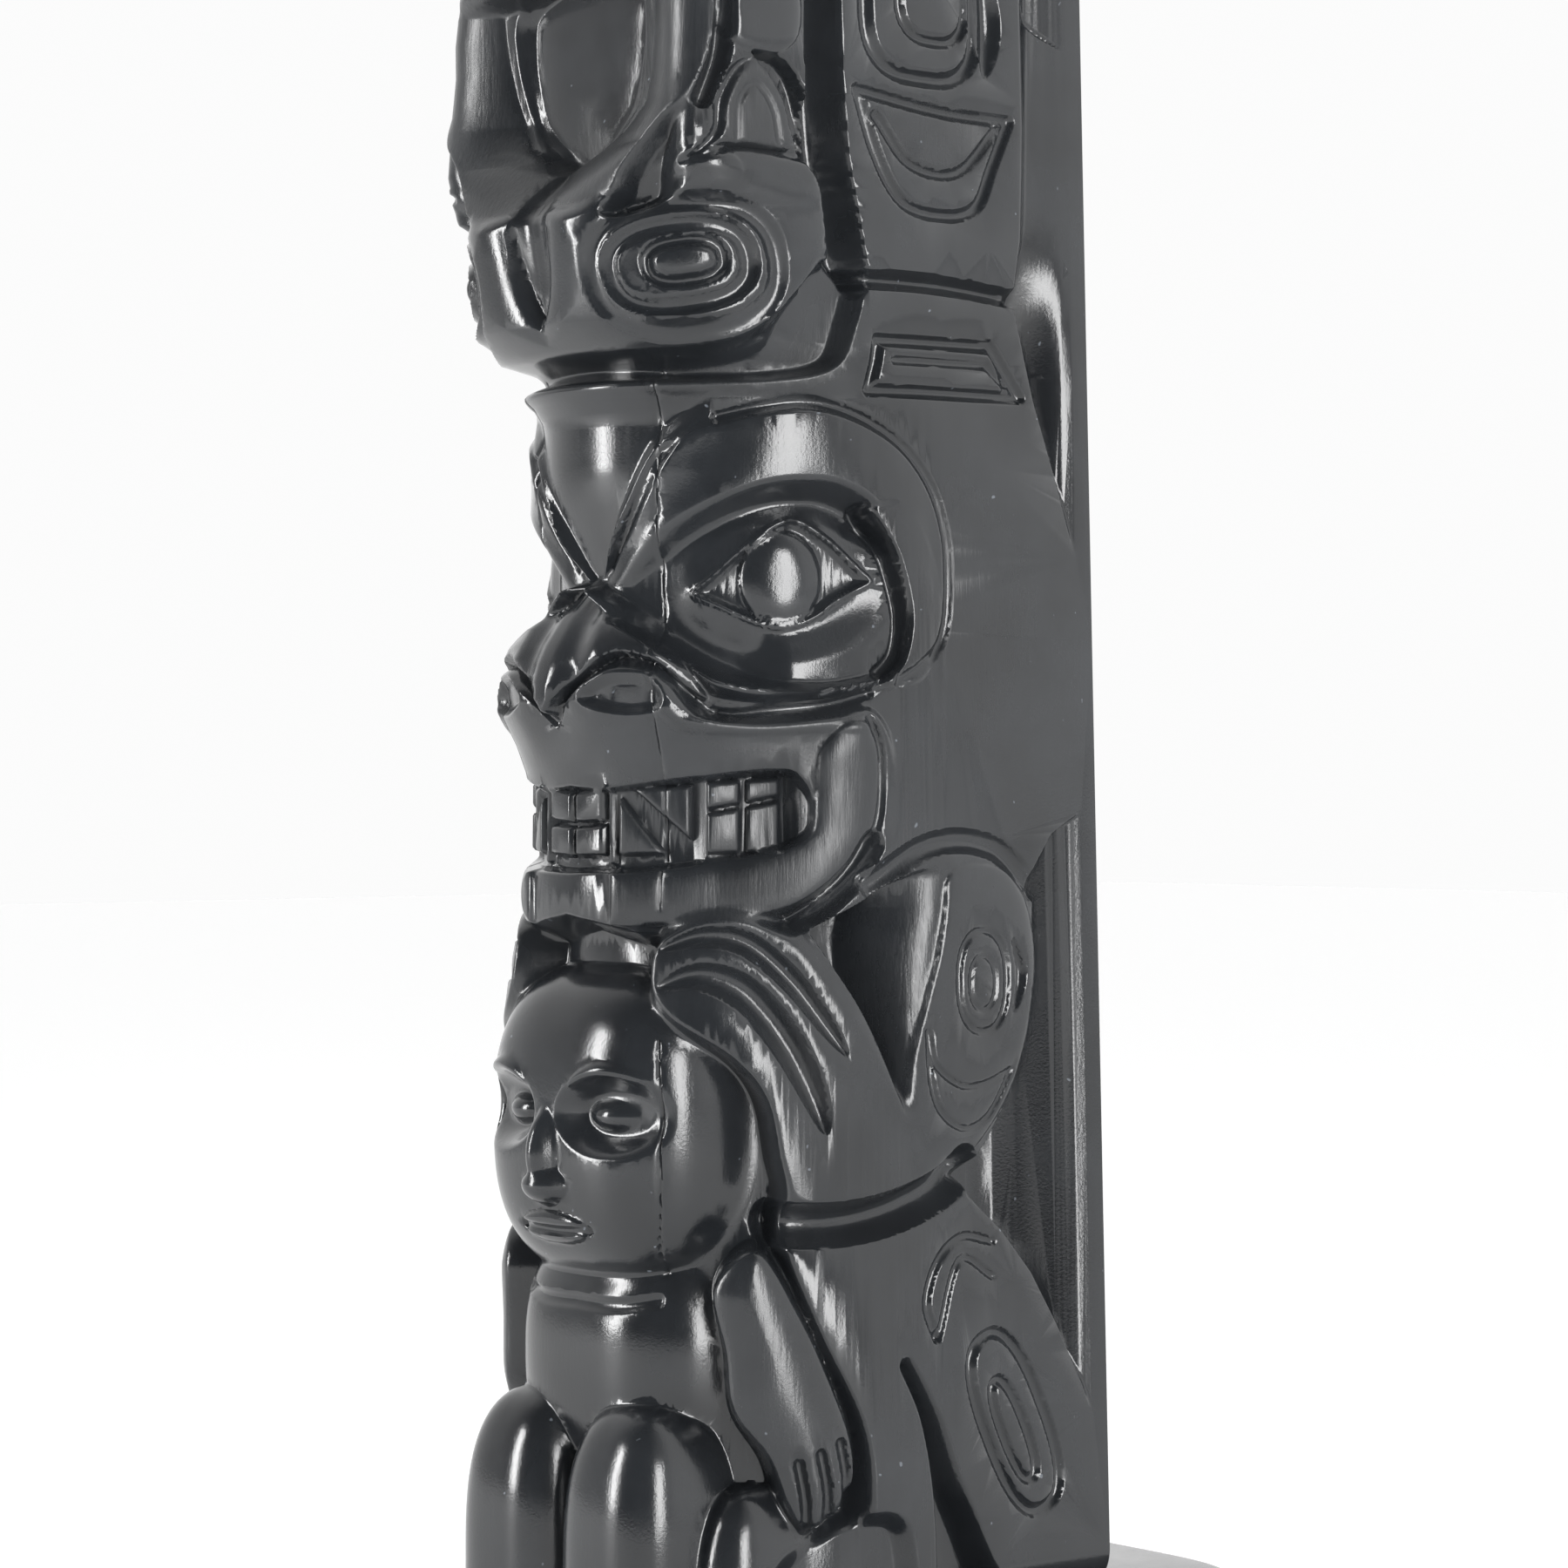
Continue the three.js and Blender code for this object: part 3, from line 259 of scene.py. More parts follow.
class Carving:
    """Relief heights over the sheet, cut form by form."""

    def __init__(self, columns, rows):
        self.us = np.linspace(0, SHEET_WIDTH, columns)
        self.zs = np.linspace(0, POLE_HEIGHT, rows)
        self.u, self.z = np.meshgrid(self.us, self.zs)
        self.h = np.zeros_like(self.u)
        self.rough = np.zeros_like(self.u)  # how much a place keeps its tool marks
        self.x, self.y, self.nx, self.ny = block_surface(self.us, self.zs)

    def window(self, path, margin):
        (u0, z0), (u1, z1) = path.min(axis=0) - margin, path.max(axis=0) + margin
        columns = slice(*np.searchsorted(self.us, [u0, u1]))
        rows = slice(*np.searchsorted(self.zs, [z0, z1]))
        return rows, columns

    def depth(self, path, part):
        u, z = self.u[part], self.z[part]
        closed = path if np.allclose(path[0], path[-1]) else np.vstack([path, path[:1]])
        distance, _ = nearest(closed, u, z)
        return np.where(inside(path, u, z), distance, -distance)

    def level(self, path, height, edge, crisp=False):
        """Brings the ground inside an outline to a level, over an edge of the given width.

        A crisp edge is a straight facet.
        """
        part = self.window(path, edge)
        t = (clamp if crisp else ease)(self.depth(path, part) / edge + 0.5)
        target = height(self.u[part], self.z[part]) if callable(height) else height
        self.h[part] = mix(self.h[part], target, t)

    def level_by(self, path, height, edge):
        """Lowers or raises the ground inside an outline by the same amount, over a crisp edge."""
        part = self.window(path, edge)
        self.h[part] += height * ease(self.depth(path, part) / edge + 0.5)

    def face(self, path, y, edge):
        """Cuts back to an upright plane facing the front."""
        part = self.window(path, edge)
        t = ease(self.depth(path, part) / edge + 0.5)
        self.h[part] = mix(self.h[part], (y - self.y[part]) / self.ny[part], t)

    def pillow(self, path, height, edge):
        """Lifts the ground inside an outline, rounding up from its edge."""
        part = self.window(path, 0.0)
        self.h[part] += height * quarter_round(self.depth(path, part) / edge)

    def mound(self, path, height, edge):
        """Raises the ground inside an outline, smoothly at both its foot and its top."""
        part = self.window(path, 0.0)
        self.h[part] += height * ease(self.depth(path, part) / edge)

    def groove(self, path, depth, half_width, pointed=False):
        """A cut along a line; a negative depth leaves a raised cord."""
        part = self.window(path, half_width)
        distance, at = nearest(path, self.u[part], self.z[part])
        ends = np.sin(math.pi * clamp(at)) ** 0.5 if pointed else 1.0
        self.h[part] -= depth * ends * clamp(1 - (distance / (half_width * np.maximum(ends, 0.05))) ** 2)

    def worked(self, path, amount, edge):
        """Leaves the ground inside an outline less rubbed down, by an amount from 0 to 1."""
        part = self.window(path, edge)
        self.rough[part] = np.maximum(self.rough[part], amount * ease(self.depth(path, part) / edge + 0.5))

    def ball(self, x, y, z, rx, ry, rz, blend=1.2, power=2.0):
        """A rounded mass standing out of the block, by its centre and radii; a higher power squares it."""
        rows = slice(*np.searchsorted(self.zs, [z - rz, z + rz]))
        px = (self.x[rows] - x) / rx
        py = (self.y[rows] - y) / ry
        nx, ny = self.nx[rows] / rx, self.ny[rows] / ry
        level = np.abs((self.z[rows] - z) / rz) ** power

        def outside(h):
            return np.abs(px + nx * h) ** power + np.abs(py + ny * h) ** power + level > 1

        low = -(nx * px + ny * py) / (nx * nx + ny * ny)
        high = low + 2 * max(rx, ry)
        reached = ~outside(low)
        for _ in range(16):
            middle = (low + high) / 2
            out = outside(middle)
            low, high = np.where(out, low, middle), np.where(out, middle, high)
        self.h[rows] = np.where(reached, soft_max(self.h[rows], low, blend), self.h[rows])

    def points(self):
        h = self.h * ease((SHEET_WIDTH - self.u) / SLAB_STRIP)
        over = clamp((self.z - (POLE_HEIGHT - CROWN_ROUND)) / CROWN_ROUND)
        worn = ease((self.u - FOOT_WORN_FROM) / FOOT_WORN_OVER)
        under = clamp((FOOT_CORNER - self.z) / FOOT_CORNER) * worn
        lift = h - CROWN_INSET * (1 - np.sqrt(1 - over ** 2)) - FOOT_INSET * (1 - np.sqrt(1 - under ** 2))
        x = np.maximum(self.x + self.nx * lift, 0)
        y = np.minimum(self.y + self.ny * lift, BACK_Y)
        x[:, 0] = 0
        return x, y + POLE_Y, self.z + FOOT_Z


# ---- back slab ----
def carve_cove(c):
    front = knots(FIGURE_REAR, c.z)
    width = SHEET_WIDTH - front
    t = (c.u - front) / np.maximum(width, 0.5)
    shallow = 1 - COVE_SHALLOW_BY * ease((c.z - COVE_SHALLOW_FROM) / COVE_SHALLOW_OVER)
    top = ease((COVE_TOP - c.z) / COVE_TOP_FADE)
    cove = knots(COVE_FLANGE, SHEET_WIDTH - c.u) * ease(t / COVE_WALL) * top * shallow
    c.h -= np.where((t > 0) & (width > 0.5), cove, 0)


# ---- upper figure ----
def carve_upper_head(c):
    c.level(ovoid(8, 206, 32, 24, 0, 4), 1.5, 5)
    c.ball(0, -17, 202, 15, 16, 12, blend=4)
    c.pillow(ovoid(0, 187.5, 29, 5.5, 0, 3), 2, 3)
    c.groove(drawn((0, 193), (16, 193.2), (26, 195.5), (29, 199)), 2.2, 1.5)
    c.groove(drawn((3, 201), (9, 205), (14, 204), (17, 200), (27, 202)), 1.6, 1.6)
    c.level(ovoid(21, 213, 11, 6.5, -4, 2.2), -1.2, 3)
    c.ball(17.5, -16.5, 213, 7.5, 7.5, 4.6, blend=1)
    c.groove(ovoid(20.5, 213, 7.5, 4.2, -4, 2), 0.8, 0.8)
    c.pillow(loop((2, 212), (8, 219), (18, 223.5), (29, 222.5), (37, 214), (35, 206), (32, 212),
                  (26, 218.6), (17, 218.5), (9, 213.5)), 2.2, 2.4)
    c.level(loop((-3, 214), (0, 211), (3, 214), (9, 222), (12, 230), (0, 231), (-9, 229)), -2, 3)
    c.pillow(loop((19, 227), (23, 236), (31, 238), (39, 235), (42, 227), (31, 225.5)), 2, 2)
    c.groove(loop((24, 228.5), (27, 234), (32, 235), (36, 233.5), (38, 228.5), (31, 227.8)), 1, 0.9)


# the inner and outer edges of the turned-up rim of a fluke, as (height, distance round)
RIM_INNER = [(150, 1.5), (155, 1.0), (158.4, 0), (160, 3.4), (162, 7), (164.5, 9.4), (168, 10.8),
             (172, 11.8), (180, 12.8)]
RIM_OUTER = [(152, 11), (154, 12), (157, 13), (159.4, 14.6), (161.5, 17), (163.5, 19), (166.8, 21.3),
             (171.3, 22.6), (180, 22.8)]


def carve_upper_body(c):
    def rim(u, z):
        inner, outer = knots(RIM_INNER, z), knots(RIM_OUTER, z)
        low = knots([(152, 0), (155, -2.2), (158.4, -5.1), (165, -6.2), (175, -4.4), (180, -4)], z)
        high = knots([(152, 0), (157, -0.3), (160, -0.6), (165, 0.3), (175, 1.2), (180, 1)], z)
        return mix(low, high, clamp((u - inner) / (outer - inner)) ** 0.8)

    lobe = loop((3.4, 154), (2.7, 149), (1.6, 144.6), (-1, 141), (-6, 139.6), (-6, 136.6), (8, 136.8),
                (20, 137.4), (27, 139.8), (32, 143.8), (35, 148.6), (35.8, 154), (34.4, 158.6), (28, 159),
                (21.5, 158.6), (18, 155.4), (13.4, 153.4), (9.4, 155), (6, 156))
    c.level(lobe, -0.8, 2)
    c.pillow(lobe, 2.4, 9)
    c.level(loop((-6, 153), (4, 152.6), (8.5, 153), (12.4, 155), (13.4, 157), (14.8, 159.4),
                 (17.2, 161.5), (19.2, 163.5), (21.4, 166.8), (22.6, 171.3), (22.8, 176), (20, 178.6),
                 (15.5, 178.6), (0, 178), (-6, 170)), rim, 2.4)
    c.face(loop((0, 159), (4, 161), (7.2, 164.4), (8.8, 168.6), (9.6, 173), (9.2, 177), (5, 179.4),
                (0, 180), (-9, 179), (-9, 164)), -24.6, 2)
    c.pillow(loop([0, 159], (4, 161), (7.2, 164.4), (8.8, 168.6), (9.6, 173), (9.2, 177), (5, 179.4),
                  (0, 180), (-5, 179.4), (-9.2, 177), (-9.6, 173), (-8.8, 168.6), (-7.2, 164.4),
                  (-4, 161)), 0.9, 6)
    c.groove(drawn((0, 158.5), (0.5, 152), (0.5, 146), (0, 140.6)), 1.3, 2.8, pointed=True)
    scoop = loop((11.4, 152.4), (12.6, 154.4), (13.4, 157), (14.9, 159.4), (17.2, 161.6), (19.5, 163.6),
                 (21.6, 167), (22.6, 171.4), (23.4, 171), (22.8, 166.6), (21.4, 162.6), (20.4, 159.4),
                 (19.8, 156.4), (18.6, 154.4), (15, 153))
    c.level(scoop, lambda u, z: -3.4 * ease((20.6 - u) / 4.5), 1.6)
    c.groove(drawn((22.6, 178.5), (23, 174), (22.8, 169), (21.2, 164)), 2.2, 1.2)
    c.pillow(ovoid(21.2, 156.2, 4, 2.8, 10, 2), 0.5, 2.6)
    c.groove(ovoid(19, 146.4, 9.2, 6.7, 6, 2.5), 0.8, 1.3)
    c.groove(ovoid(18.4, 146.6, 6.9, 4.3, 8, 2.5), 1.1, 1.1)
    c.level_by(ovoid(18.6, 146.7, 6, 3.6, 8, 2.4), -0.5, 1)
    c.groove(ovoid(19, 147, 3.8, 2.2, 9, 2.6), 0.7, 0.7)
    c.pillow(ovoid(19, 147, 3, 1.5, 9, 2.4), 0.5, 1)
    c.level(loop([26.4, 169.4], (30.4, 168.6), (32.8, 164.4), [34.4, 154.8], (31.7, 160), (30.3, 164.4),
                 (28.4, 167.4)), -2.4, 0.7)
    c.groove(drawn((20, 157.6), (22.6, 160.4), (23, 164), (24.6, 167.4), (26.6, 169)), 0.7, 0.8, pointed=True)
    c.groove(drawn((19.6, 157.4), (24.7, 159), (28.6, 158.9), (33, 158.4)), 0.5, 0.6)
    c.groove(drawn((24.8, 160), (25, 164), (26.8, 166), (28.8, 163.6), (29.6, 160)), 0.3, 0.5)
    c.pillow(ovoid(27.4, 174.2, 4.6, 4.8, 0, 2.6), 0.8, 2.4)
    c.groove(drawn((-8, 136.4), (6, 136.4), (16, 136.6), (23, 137.6), (28, 139.8), (31.6, 143),
                   (34.4, 146.4)), 1.8, 1.5)


def carve_side_fin(c):
    c.groove(drawn((34.6, 183), (34.9, 170), (35.6, 160), (36.8, 150), (37.5, 146)), 4.6, 2.4)
    c.groove(ovoid(47.8, 177.5, 7.6, 8.6, 0, 3), 1.1, 1.1)
    c.groove(ovoid(49.2, 178, 4.6, 4.8, 0, 2.6), 0.8, 0.8)
    c.groove(drawn((56.5, 183), (57.6, 176), (56.6, 169.8)), 1.6, 1.7, pointed=True)
    c.groove(loop([39.2, 166.8], (41.5, 160), (44.6, 155), (50, 153.9), (54.9, 155.2), (57.5, 160),
                  [60.2, 165.4], (50, 165.5)), 0.9, 0.9)
    c.groove(drawn((41.5, 164.2), (46, 159.2), (52.5, 159), (58.4, 164.4)), 0.8, 0.8)
    c.groove(drawn((33, 145.2), (38, 146), (50, 146.1), (60.5, 145.4)), 1.8, 1.2)


# ---- bear ----
def carve_ear(c):
    hollow = loop((26, 138.5), (31, 143.8), (35.2, 147.5), (38.2, 145.3), (36.9, 140.5), (33.8, 136.6),
                  (27, 135.2), (16, 134.9), (-4, 134.9), (-4, 136.6), (16, 136.9))
    c.level(hollow, -3, 1.6)
    c.groove(loop([38.6, 134], [40.5, 139.5], [56.7, 139.7], [61, 134.2]), 0.9, 0.9)
    c.groove(drawn([42.5, 137.4], [56, 137.6], [59, 135.4]), 0.6, 0.7)


FOREHEAD = [(112, -4.8), (117, -3.4), (121, -2.2), (124, -1.45), (126, -1.2), (130, -1.15), (131.4, -0.9),
            (134, 0.6)]


def carve_bear_face(c):
    forehead = loop((-14, 134), (-7, 122), (0, 112.4), (7, 120), (12, 127.5), (17, 134))
    c.level(forehead, lambda u, z: knots(FOREHEAD, z), 2.4)
    brow = loop([1, 113.2], (6.7, 117.2), (10, 121.4), (12.4, 125.2), (16.4, 129), (22.8, 130.9),
                (31, 131.8), (37, 130.4), (43, 127.2), (46.8, 123), (48.7, 118), (49, 112.6),
                (48.2, 107.6), (44.8, 103.9), (41, 102), (36, 103), (28, 103), (17, 106.5), (8, 110.4))

    def brow_height(u, z):
        margin = knots([(113, 1), (117, 6.5), (121, 9.8), (125, 12.2), (129, 16)], z)
        drop = knots([(112, 5.2), (117, 3.2), (121, 1.8), (125, 0.8), (129, 0.2)], z)
        return 0.9 - drop * (1 - ease((u - margin) / 12)) - 0.7 * ease((u - 40) / 8)

    c.level(brow, brow_height, 1.4)

    def facet(u, z):
        left = knots([(114, 2.6), (117.4, 5.6), (121.2, 8.4), (125.4, 11.2), (127.4, 13.2)], z)
        return knots(FOREHEAD, z) + 0.35 + 0.022 * ((u - 4.4) ** 2 - (left - 4.4) ** 2)

    c.level(loop([2.6, 114], (5.6, 117.4), (8.4, 121.2), (11.2, 125.4), [13.2, 127.6], [15.4, 128.2],
                 (13.3, 125.4), (10.4, 121.3), (7.6, 117.7), [3.6, 114.2]), facet, 0.7, crisp=True)
    socket = loop([4, 112.6], (9.8, 115.3), (17.3, 119.2), (25, 122.2), (31, 122.9), (35, 122.3),
                  (38.6, 120.2), (42.2, 115), (43.8, 108.8), (42.4, 104.3), (39.4, 101.8), (33, 100.6),
                  (26, 101.2), (19, 103.4), (13, 106.6), (8.4, 109.6))

    def dish(u, z):
        ring = np.hypot((u - 27) / 15, (z - 113.5) / 9)
        outer = ease((u - 22) / 7) * ease((119 - z) / 4)
        return -1.9 + 1.4 * outer * ease((ring - 0.64) / 0.5) - 1.2 * (1 - outer) * ease((ring - 0.6) / 0.4)

    c.level(socket, dish, 3.4)
    c.level(loop((38.4, 120.6), (41.8, 116), (43.7, 109.4), (42.4, 104.4), (39.8, 101.8), (46, 103),
                 (48, 112), (44, 121)), lambda u, z: 0.7 - 0.5 * ease((u - 42) / 8), 0.9)
    c.groove(drawn((37.6, 120.6), (40.6, 116.4), (42.1, 112), (42.5, 108), (41.6, 104.6), (39.4, 102.6)),
             1.5, 1.1)
    almond = loop([16.8, 111.5], (19.4, 113.3), (22, 115.4), (26.2, 118.3), (29.6, 119.3), (33.6, 117.2),
                  (36.2, 115.2), [38.9, 113], (34.3, 110.8), (31.8, 109.2), (28, 108), (24, 108.8),
                  (20, 110.4))
    c.groove(almond, -0.45, 0.7)
    c.level_by(almond, -0.6, 0.5)
    c.pillow(ovoid(27.7, 113.2, 5.3, 5.3, 0, 2), 1.4, 3.8)
    c.mound(loop((6, 108.4), (10, 107.6), (15, 105.6), (20, 103.6), (26, 102.4), (33, 102.2),
                 (39.4, 103.2), (40, 101.4), (33.4, 99.6), (26.5, 99.2), (20, 99.9), (17.4, 101.4),
                 (14, 104.4), (9, 105.6)), 2.2, 1.9)
    c.groove(drawn((20, 130.6), (25.6, 131.8), (31, 132.3), (37, 131), (43, 127.9), (47.2, 123.6),
                   (49.3, 118.4), (49.6, 112.8), (48.8, 107.4), (46.4, 104.6), (42, 102)), 0.6, 0.9)


def lip_height(u, z):
    """The upper lip swells towards the nose, then turns in under it."""
    swell = knots([(90, 0.2), (92, 0.6), (95, 1.7), (98, 3.2), (99.6, 3.9), (101.4, 4.1), (103, 3.5),
                   (104.6, 2.4)], z)
    return swell * (1 - 0.62 * ease((u - 13) / 16)) - 1.0 * (1 - ease(u / 7)) * ease((z - 92) / 6)


def carve_bear_nose(c):
    upper_lip = loop((-2, 92.4), (-2, 97), (1, 99.4), (5.7, 102.8), (8.9, 104.6), (12.6, 104.2),
                     (15, 102.2), (17.2, 99.4), (19.6, 97.6), (21, 95.4), (19, 92.6), (10, 91.4))
    c.level(upper_lip, lip_height, 1.5)
    c.level(loop((5.6, 99.8), (6.4, 101.4), (9, 102.2), (12.6, 102), (14, 100.8), (13.6, 99.2),
                 (10, 98.8)), lambda u, z: lip_height(u, z) - 1.3, 1.5)

    def nose_height(u, z):
        ridge = knots([(98, 4.0), (100, 4.2), (102, 4.1), (104, 3.5), (106, 2.5), (109, 0.4),
                       (113.4, -4.2)], z)
        wing = knots([(99, 2.9), (102, 3.3), (104.6, 3.4), (106, 2.8), (108, 1.6), (110, -0.6),
                      (113.4, -4.8)], z)
        return mix(ridge, wing, ease((u - 0.8) / 6)) - 0.7 * ease(1 - np.abs(u - 3.6) / 3) \
            - 2.0 * ease((u - 12) / 6)

    nose = loop([0, 113.8], (2.6, 111.2), (6.6, 109), (9.6, 107.6), (12.6, 106), (16.5, 103.2),
                (18, 101.4), (18.4, 100), (16.4, 101), (14.8, 102.7), (12.6, 104.2), (8.9, 104.8),
                (5.7, 103), (2.5, 100.9), (0.9, 99.2), (0, 98.4), (-3, 99), (-6, 104))
    c.level(nose, nose_height, 0.9)
    c.groove(drawn((0, 97.6), (0.9, 98.4), (2.5, 100.2), (5.7, 102.3), (8.9, 104), (12.6, 103.6),
                   (14.6, 101.9), (17.2, 99), (20.6, 98.2), (26, 98.7), (33, 99.4), (38, 100.6)), 0.6, 0.7)
    c.groove(drawn((14.8, 98.6), (16.8, 97.1), (22.6, 96.8), (28, 97), (32, 97.2), (37, 97.2)), -0.4, 1)


def carve_bear_mouth(c):
    def lip(u, z):
        upper = lip_height(u, z)
        lower = knots([(0, 0.9), (7, 0.9), (10, 0.4), (13, -0.2), (20, -1.3), (26, -1), (32, -0.3),
                       (40, 0.2)], u)
        return mix(lower, upper, ease((z - 85) / 5))

    lips = loop((-12, 98), (10, 97.6), (17.6, 98), (25, 97.4), (32, 98), (37.6, 98.8), (40.4, 96),
                (41.2, 91), (40.2, 84), (36.4, 79.2), (30.6, 75.8), (20, 74.4), (9, 74.2), (-9, 74.2))
    c.level(lips, lip, 1.4)
    jaw = loop([7, 75], (20, 75), (28.7, 76.4), (35, 81), (38, 85.4), (39.2, 91), (38.6, 95.4),
               (36.6, 97.6), (34, 97), (31.6, 94), (31.2, 89.4), (30.2, 86.4), (26, 84), (16, 82.2),
               [7, 81.6])
    c.pillow(jaw, 1.2, 3.4)
    c.groove(drawn((28, 76), (32, 78.5), (35.2, 81), (37.6, 83.8), (39, 87), (39.4, 91), (38.9, 95),
                   (37.4, 97.8)), 0.5, 0.7)
    floor = [(0, -1.3), (6, -1.3), (7.4, -1), (16.6, -1.8), (18.4, -0.9), (27, -2.8), (28, -3.4), (31, -0.8)]
    c.level(loop((-10, 90.2), (5.4, 90), (17, 91.2), (27, 92), (29.8, 90.8), (31, 88), (29.2, 84.4),
                 (18, 82.2), (6, 81.2), (-10, 82)), lambda u, z: knots(floor, u), 0.9)

    def top(u):
        return 89.8 + 0.06 * u

    def foot(u):
        return 82.6 + 0.025 * u

    def middle(u):
        return mix(foot(u), top(u), 0.5 + 0.014 * max(u - 12, 0))

    def tooth(*corners):
        c.pillow(np.array(corners), 1.0, 0.6)

    for u0, u1 in ((0.25, 5.3), (18.5, 22.5), (23.1, 27.5)):
        tooth((u0, foot(u0)), (u1, foot(u1)), (u1, middle(u1) - 0.2), (u0, middle(u0) - 0.2))
        tooth((u0, middle(u0) + 0.2), (u1, middle(u1) + 0.2), (u1, top(u1)), (u0, top(u0)))
    tooth((7.4, 82.8), (13.4, 83), (7.5, 89.4))
    tooth((9.2, 90.2), (16.6, 90.6), (16.6, 84.4))
    c.groove(drawn((6.2, 90), (6.2, 86), (6.3, 82.2)), -0.9, 0.6)


def carve_bear_arm(c):
    # the ledge and the dark groove under the jaw
    c.groove(drawn((12, 73.8), (20, 74), (29, 76), (35, 80), (38, 84)), 1.6, 1.8)
    c.groove(drawn((38, 79.6), (44.6, 83.4), (51, 84.4), (57, 83), (61.4, 79)), 1.3, 1.6)
    arm = loop((41.6, 54), (42.8, 61.4), (45, 68.4), (47, 75), (49, 81), (55.6, 81.6), (60, 78.4),
               (61.6, 71), (60.2, 62.6), (56.4, 55), (49.6, 48.8), (40, 46), (36, 50))
    c.pillow(arm, 0.9, 4.5)
    # the shell-shaped hollow between forearm and upper arm
    hollow = loop([30.8, 74.6], (33.6, 70.8), (36.8, 66.2), (39.2, 61.4), [41.8, 54.6], (43, 61),
                  (45, 67), (47, 73), (48, 79.4), (46.4, 81.2), (42, 80), (36, 77))

    def shell(u, z):
        near = knots([(55, 41.8), (61.6, 39.4), (66, 37.6), (70.4, 36.6), (74, 36.4), (80, 38.4)], z)
        far = knots([(55, 42.2), (61, 43.2), (67, 45.2), (73, 47.2), (80.6, 48.4)], z)
        deepest = knots([(55, 1.2), (60, 4.4), (66, 7), (77, 8), (81, 6)], z)
        return -deepest * (1 - clamp((u - near) / (far - near))) ** 1.6

    c.level(hollow, shell, 0.9)
    c.groove(ovoid(53, 68.8, 5.6, 3.6, 88, 2.3), 0.5, 0.6)
    c.groove(ovoid(53, 68.6, 3, 1.9, 88, 2.1), 0.35, 0.5)
    c.groove(drawn((57.6, 73.6), (59, 69.4), (57.6, 65)), 1.1, 0.9, pointed=True)
    c.groove(loop([45, 63.4], (45.8, 59.8), (49.4, 57.4), (53, 57.4), [57.2, 58.8], (53.8, 54),
                  (50, 52.6), (46.6, 54.4), (45.2, 58)), 0.5, 0.55)
    # the hand, laid over the head
    hand = loop((12.8, 73.6), (16.3, 75.8), (21.3, 76.6), (26.3, 75.4), (30.4, 72.4), (36.3, 64.8),
                (40, 59.2), (43, 53), (43, 47), (36, 44.6), (29, 45), (26.6, 49), (25, 56), (21.4, 60.6),
                (14.4, 65.2), (12, 69.2))
    c.level(hand, lambda u, z: 1.2 - 0.7 * ease((u - 16) / 12), 2)
    c.groove(drawn((13.4, 72.6), (18, 74), (23, 73.4), (28, 69.6), (32, 64.6), (34.6, 61)),
             1.5, 1.5, pointed=True)
    c.groove(drawn((13.4, 68.6), (18, 69.8), (23, 68), (27.6, 62.8), (30.6, 57), (32, 52.6)),
             2.0, 2.1, pointed=True)


# ---- small crouching figure ----
def carve_small_figure(c):
    niche = loop((-12, 73), (12, 73.4), (19, 70), (25.4, 61), (27.4, 49), (26.4, 41.6), (30.4, 31),
                 (36, 19), (36, 6), (33, -8), (-20, -8), (-20, 40))
    c.level(niche, -4.6, 2.4)
    c.ball(**HEAD)
    c.ball(0, -14.5, 27, 16.6, 13.4, 16, power=2.6)
    c.groove(drawn((-3, 33.6), (6, 33.4), (12, 34.2)), 0.5, 0.9)
    c.ball(18.4, -17.2, 0, 5.8, 7.6, 14.6, blend=1.5, power=2.6)
    c.ball(9.1, -23.3, 4, 9.1, 9.2, 19.2, blend=0.8, power=2.8)
    arm = loop((19.2, 36.4), (20.4, 29), (21.2, 22.6), (25, 17.6), (27, 12.6), (29.2, 9.8), (32.6, 10.8),
               (35.2, 14.6), (35.2, 19.4), (33, 25.6), (29.4, 33.4), (24.6, 40.6))
    c.level(arm, -1, 1.6)
    c.pillow(arm, 2.2, 6.4)
    for lean in range(3):
        u = 28.6 + 2.3 * lean
        c.groove(drawn((u, 17.2 + lean), (u + 0.7, 13.4 + lean), (u + 0.9, 10.4 + lean * 0.8)), 1, 0.75)


def carve_small_face(c):
    """A calm, plain face of ordinary proportions."""
    middle = HEAD["z"] + 1
    c.level(ovoid(9, middle + 0.6, 6, 3.6, 0, 2), 0.6, 3)
    c.ball(7.4, -23.4, middle + 0.4, 5, 6.2, 2.7, blend=0.6)
    c.groove(drawn((3.6, middle + 3.6), (8, middle + 5.4), (13.4, middle + 4.4)), -0.7, 1.2, pointed=True)
    c.ball(0, -27.5, middle - 4, 2.6, 6.4, 6.4, blend=1)
    c.ball(0, -29.8, middle - 7.4, 3.6, 4.2, 2.4, blend=0.8)
    c.pillow(ovoid(0, middle - 12.2, 5.6, 1.9, 0, 2), 0.9, 1.6)
    c.groove(drawn((-5.4, middle - 12.2), (0, middle - 12.4), (5.4, middle - 12.2)), 0.8, 0.7)


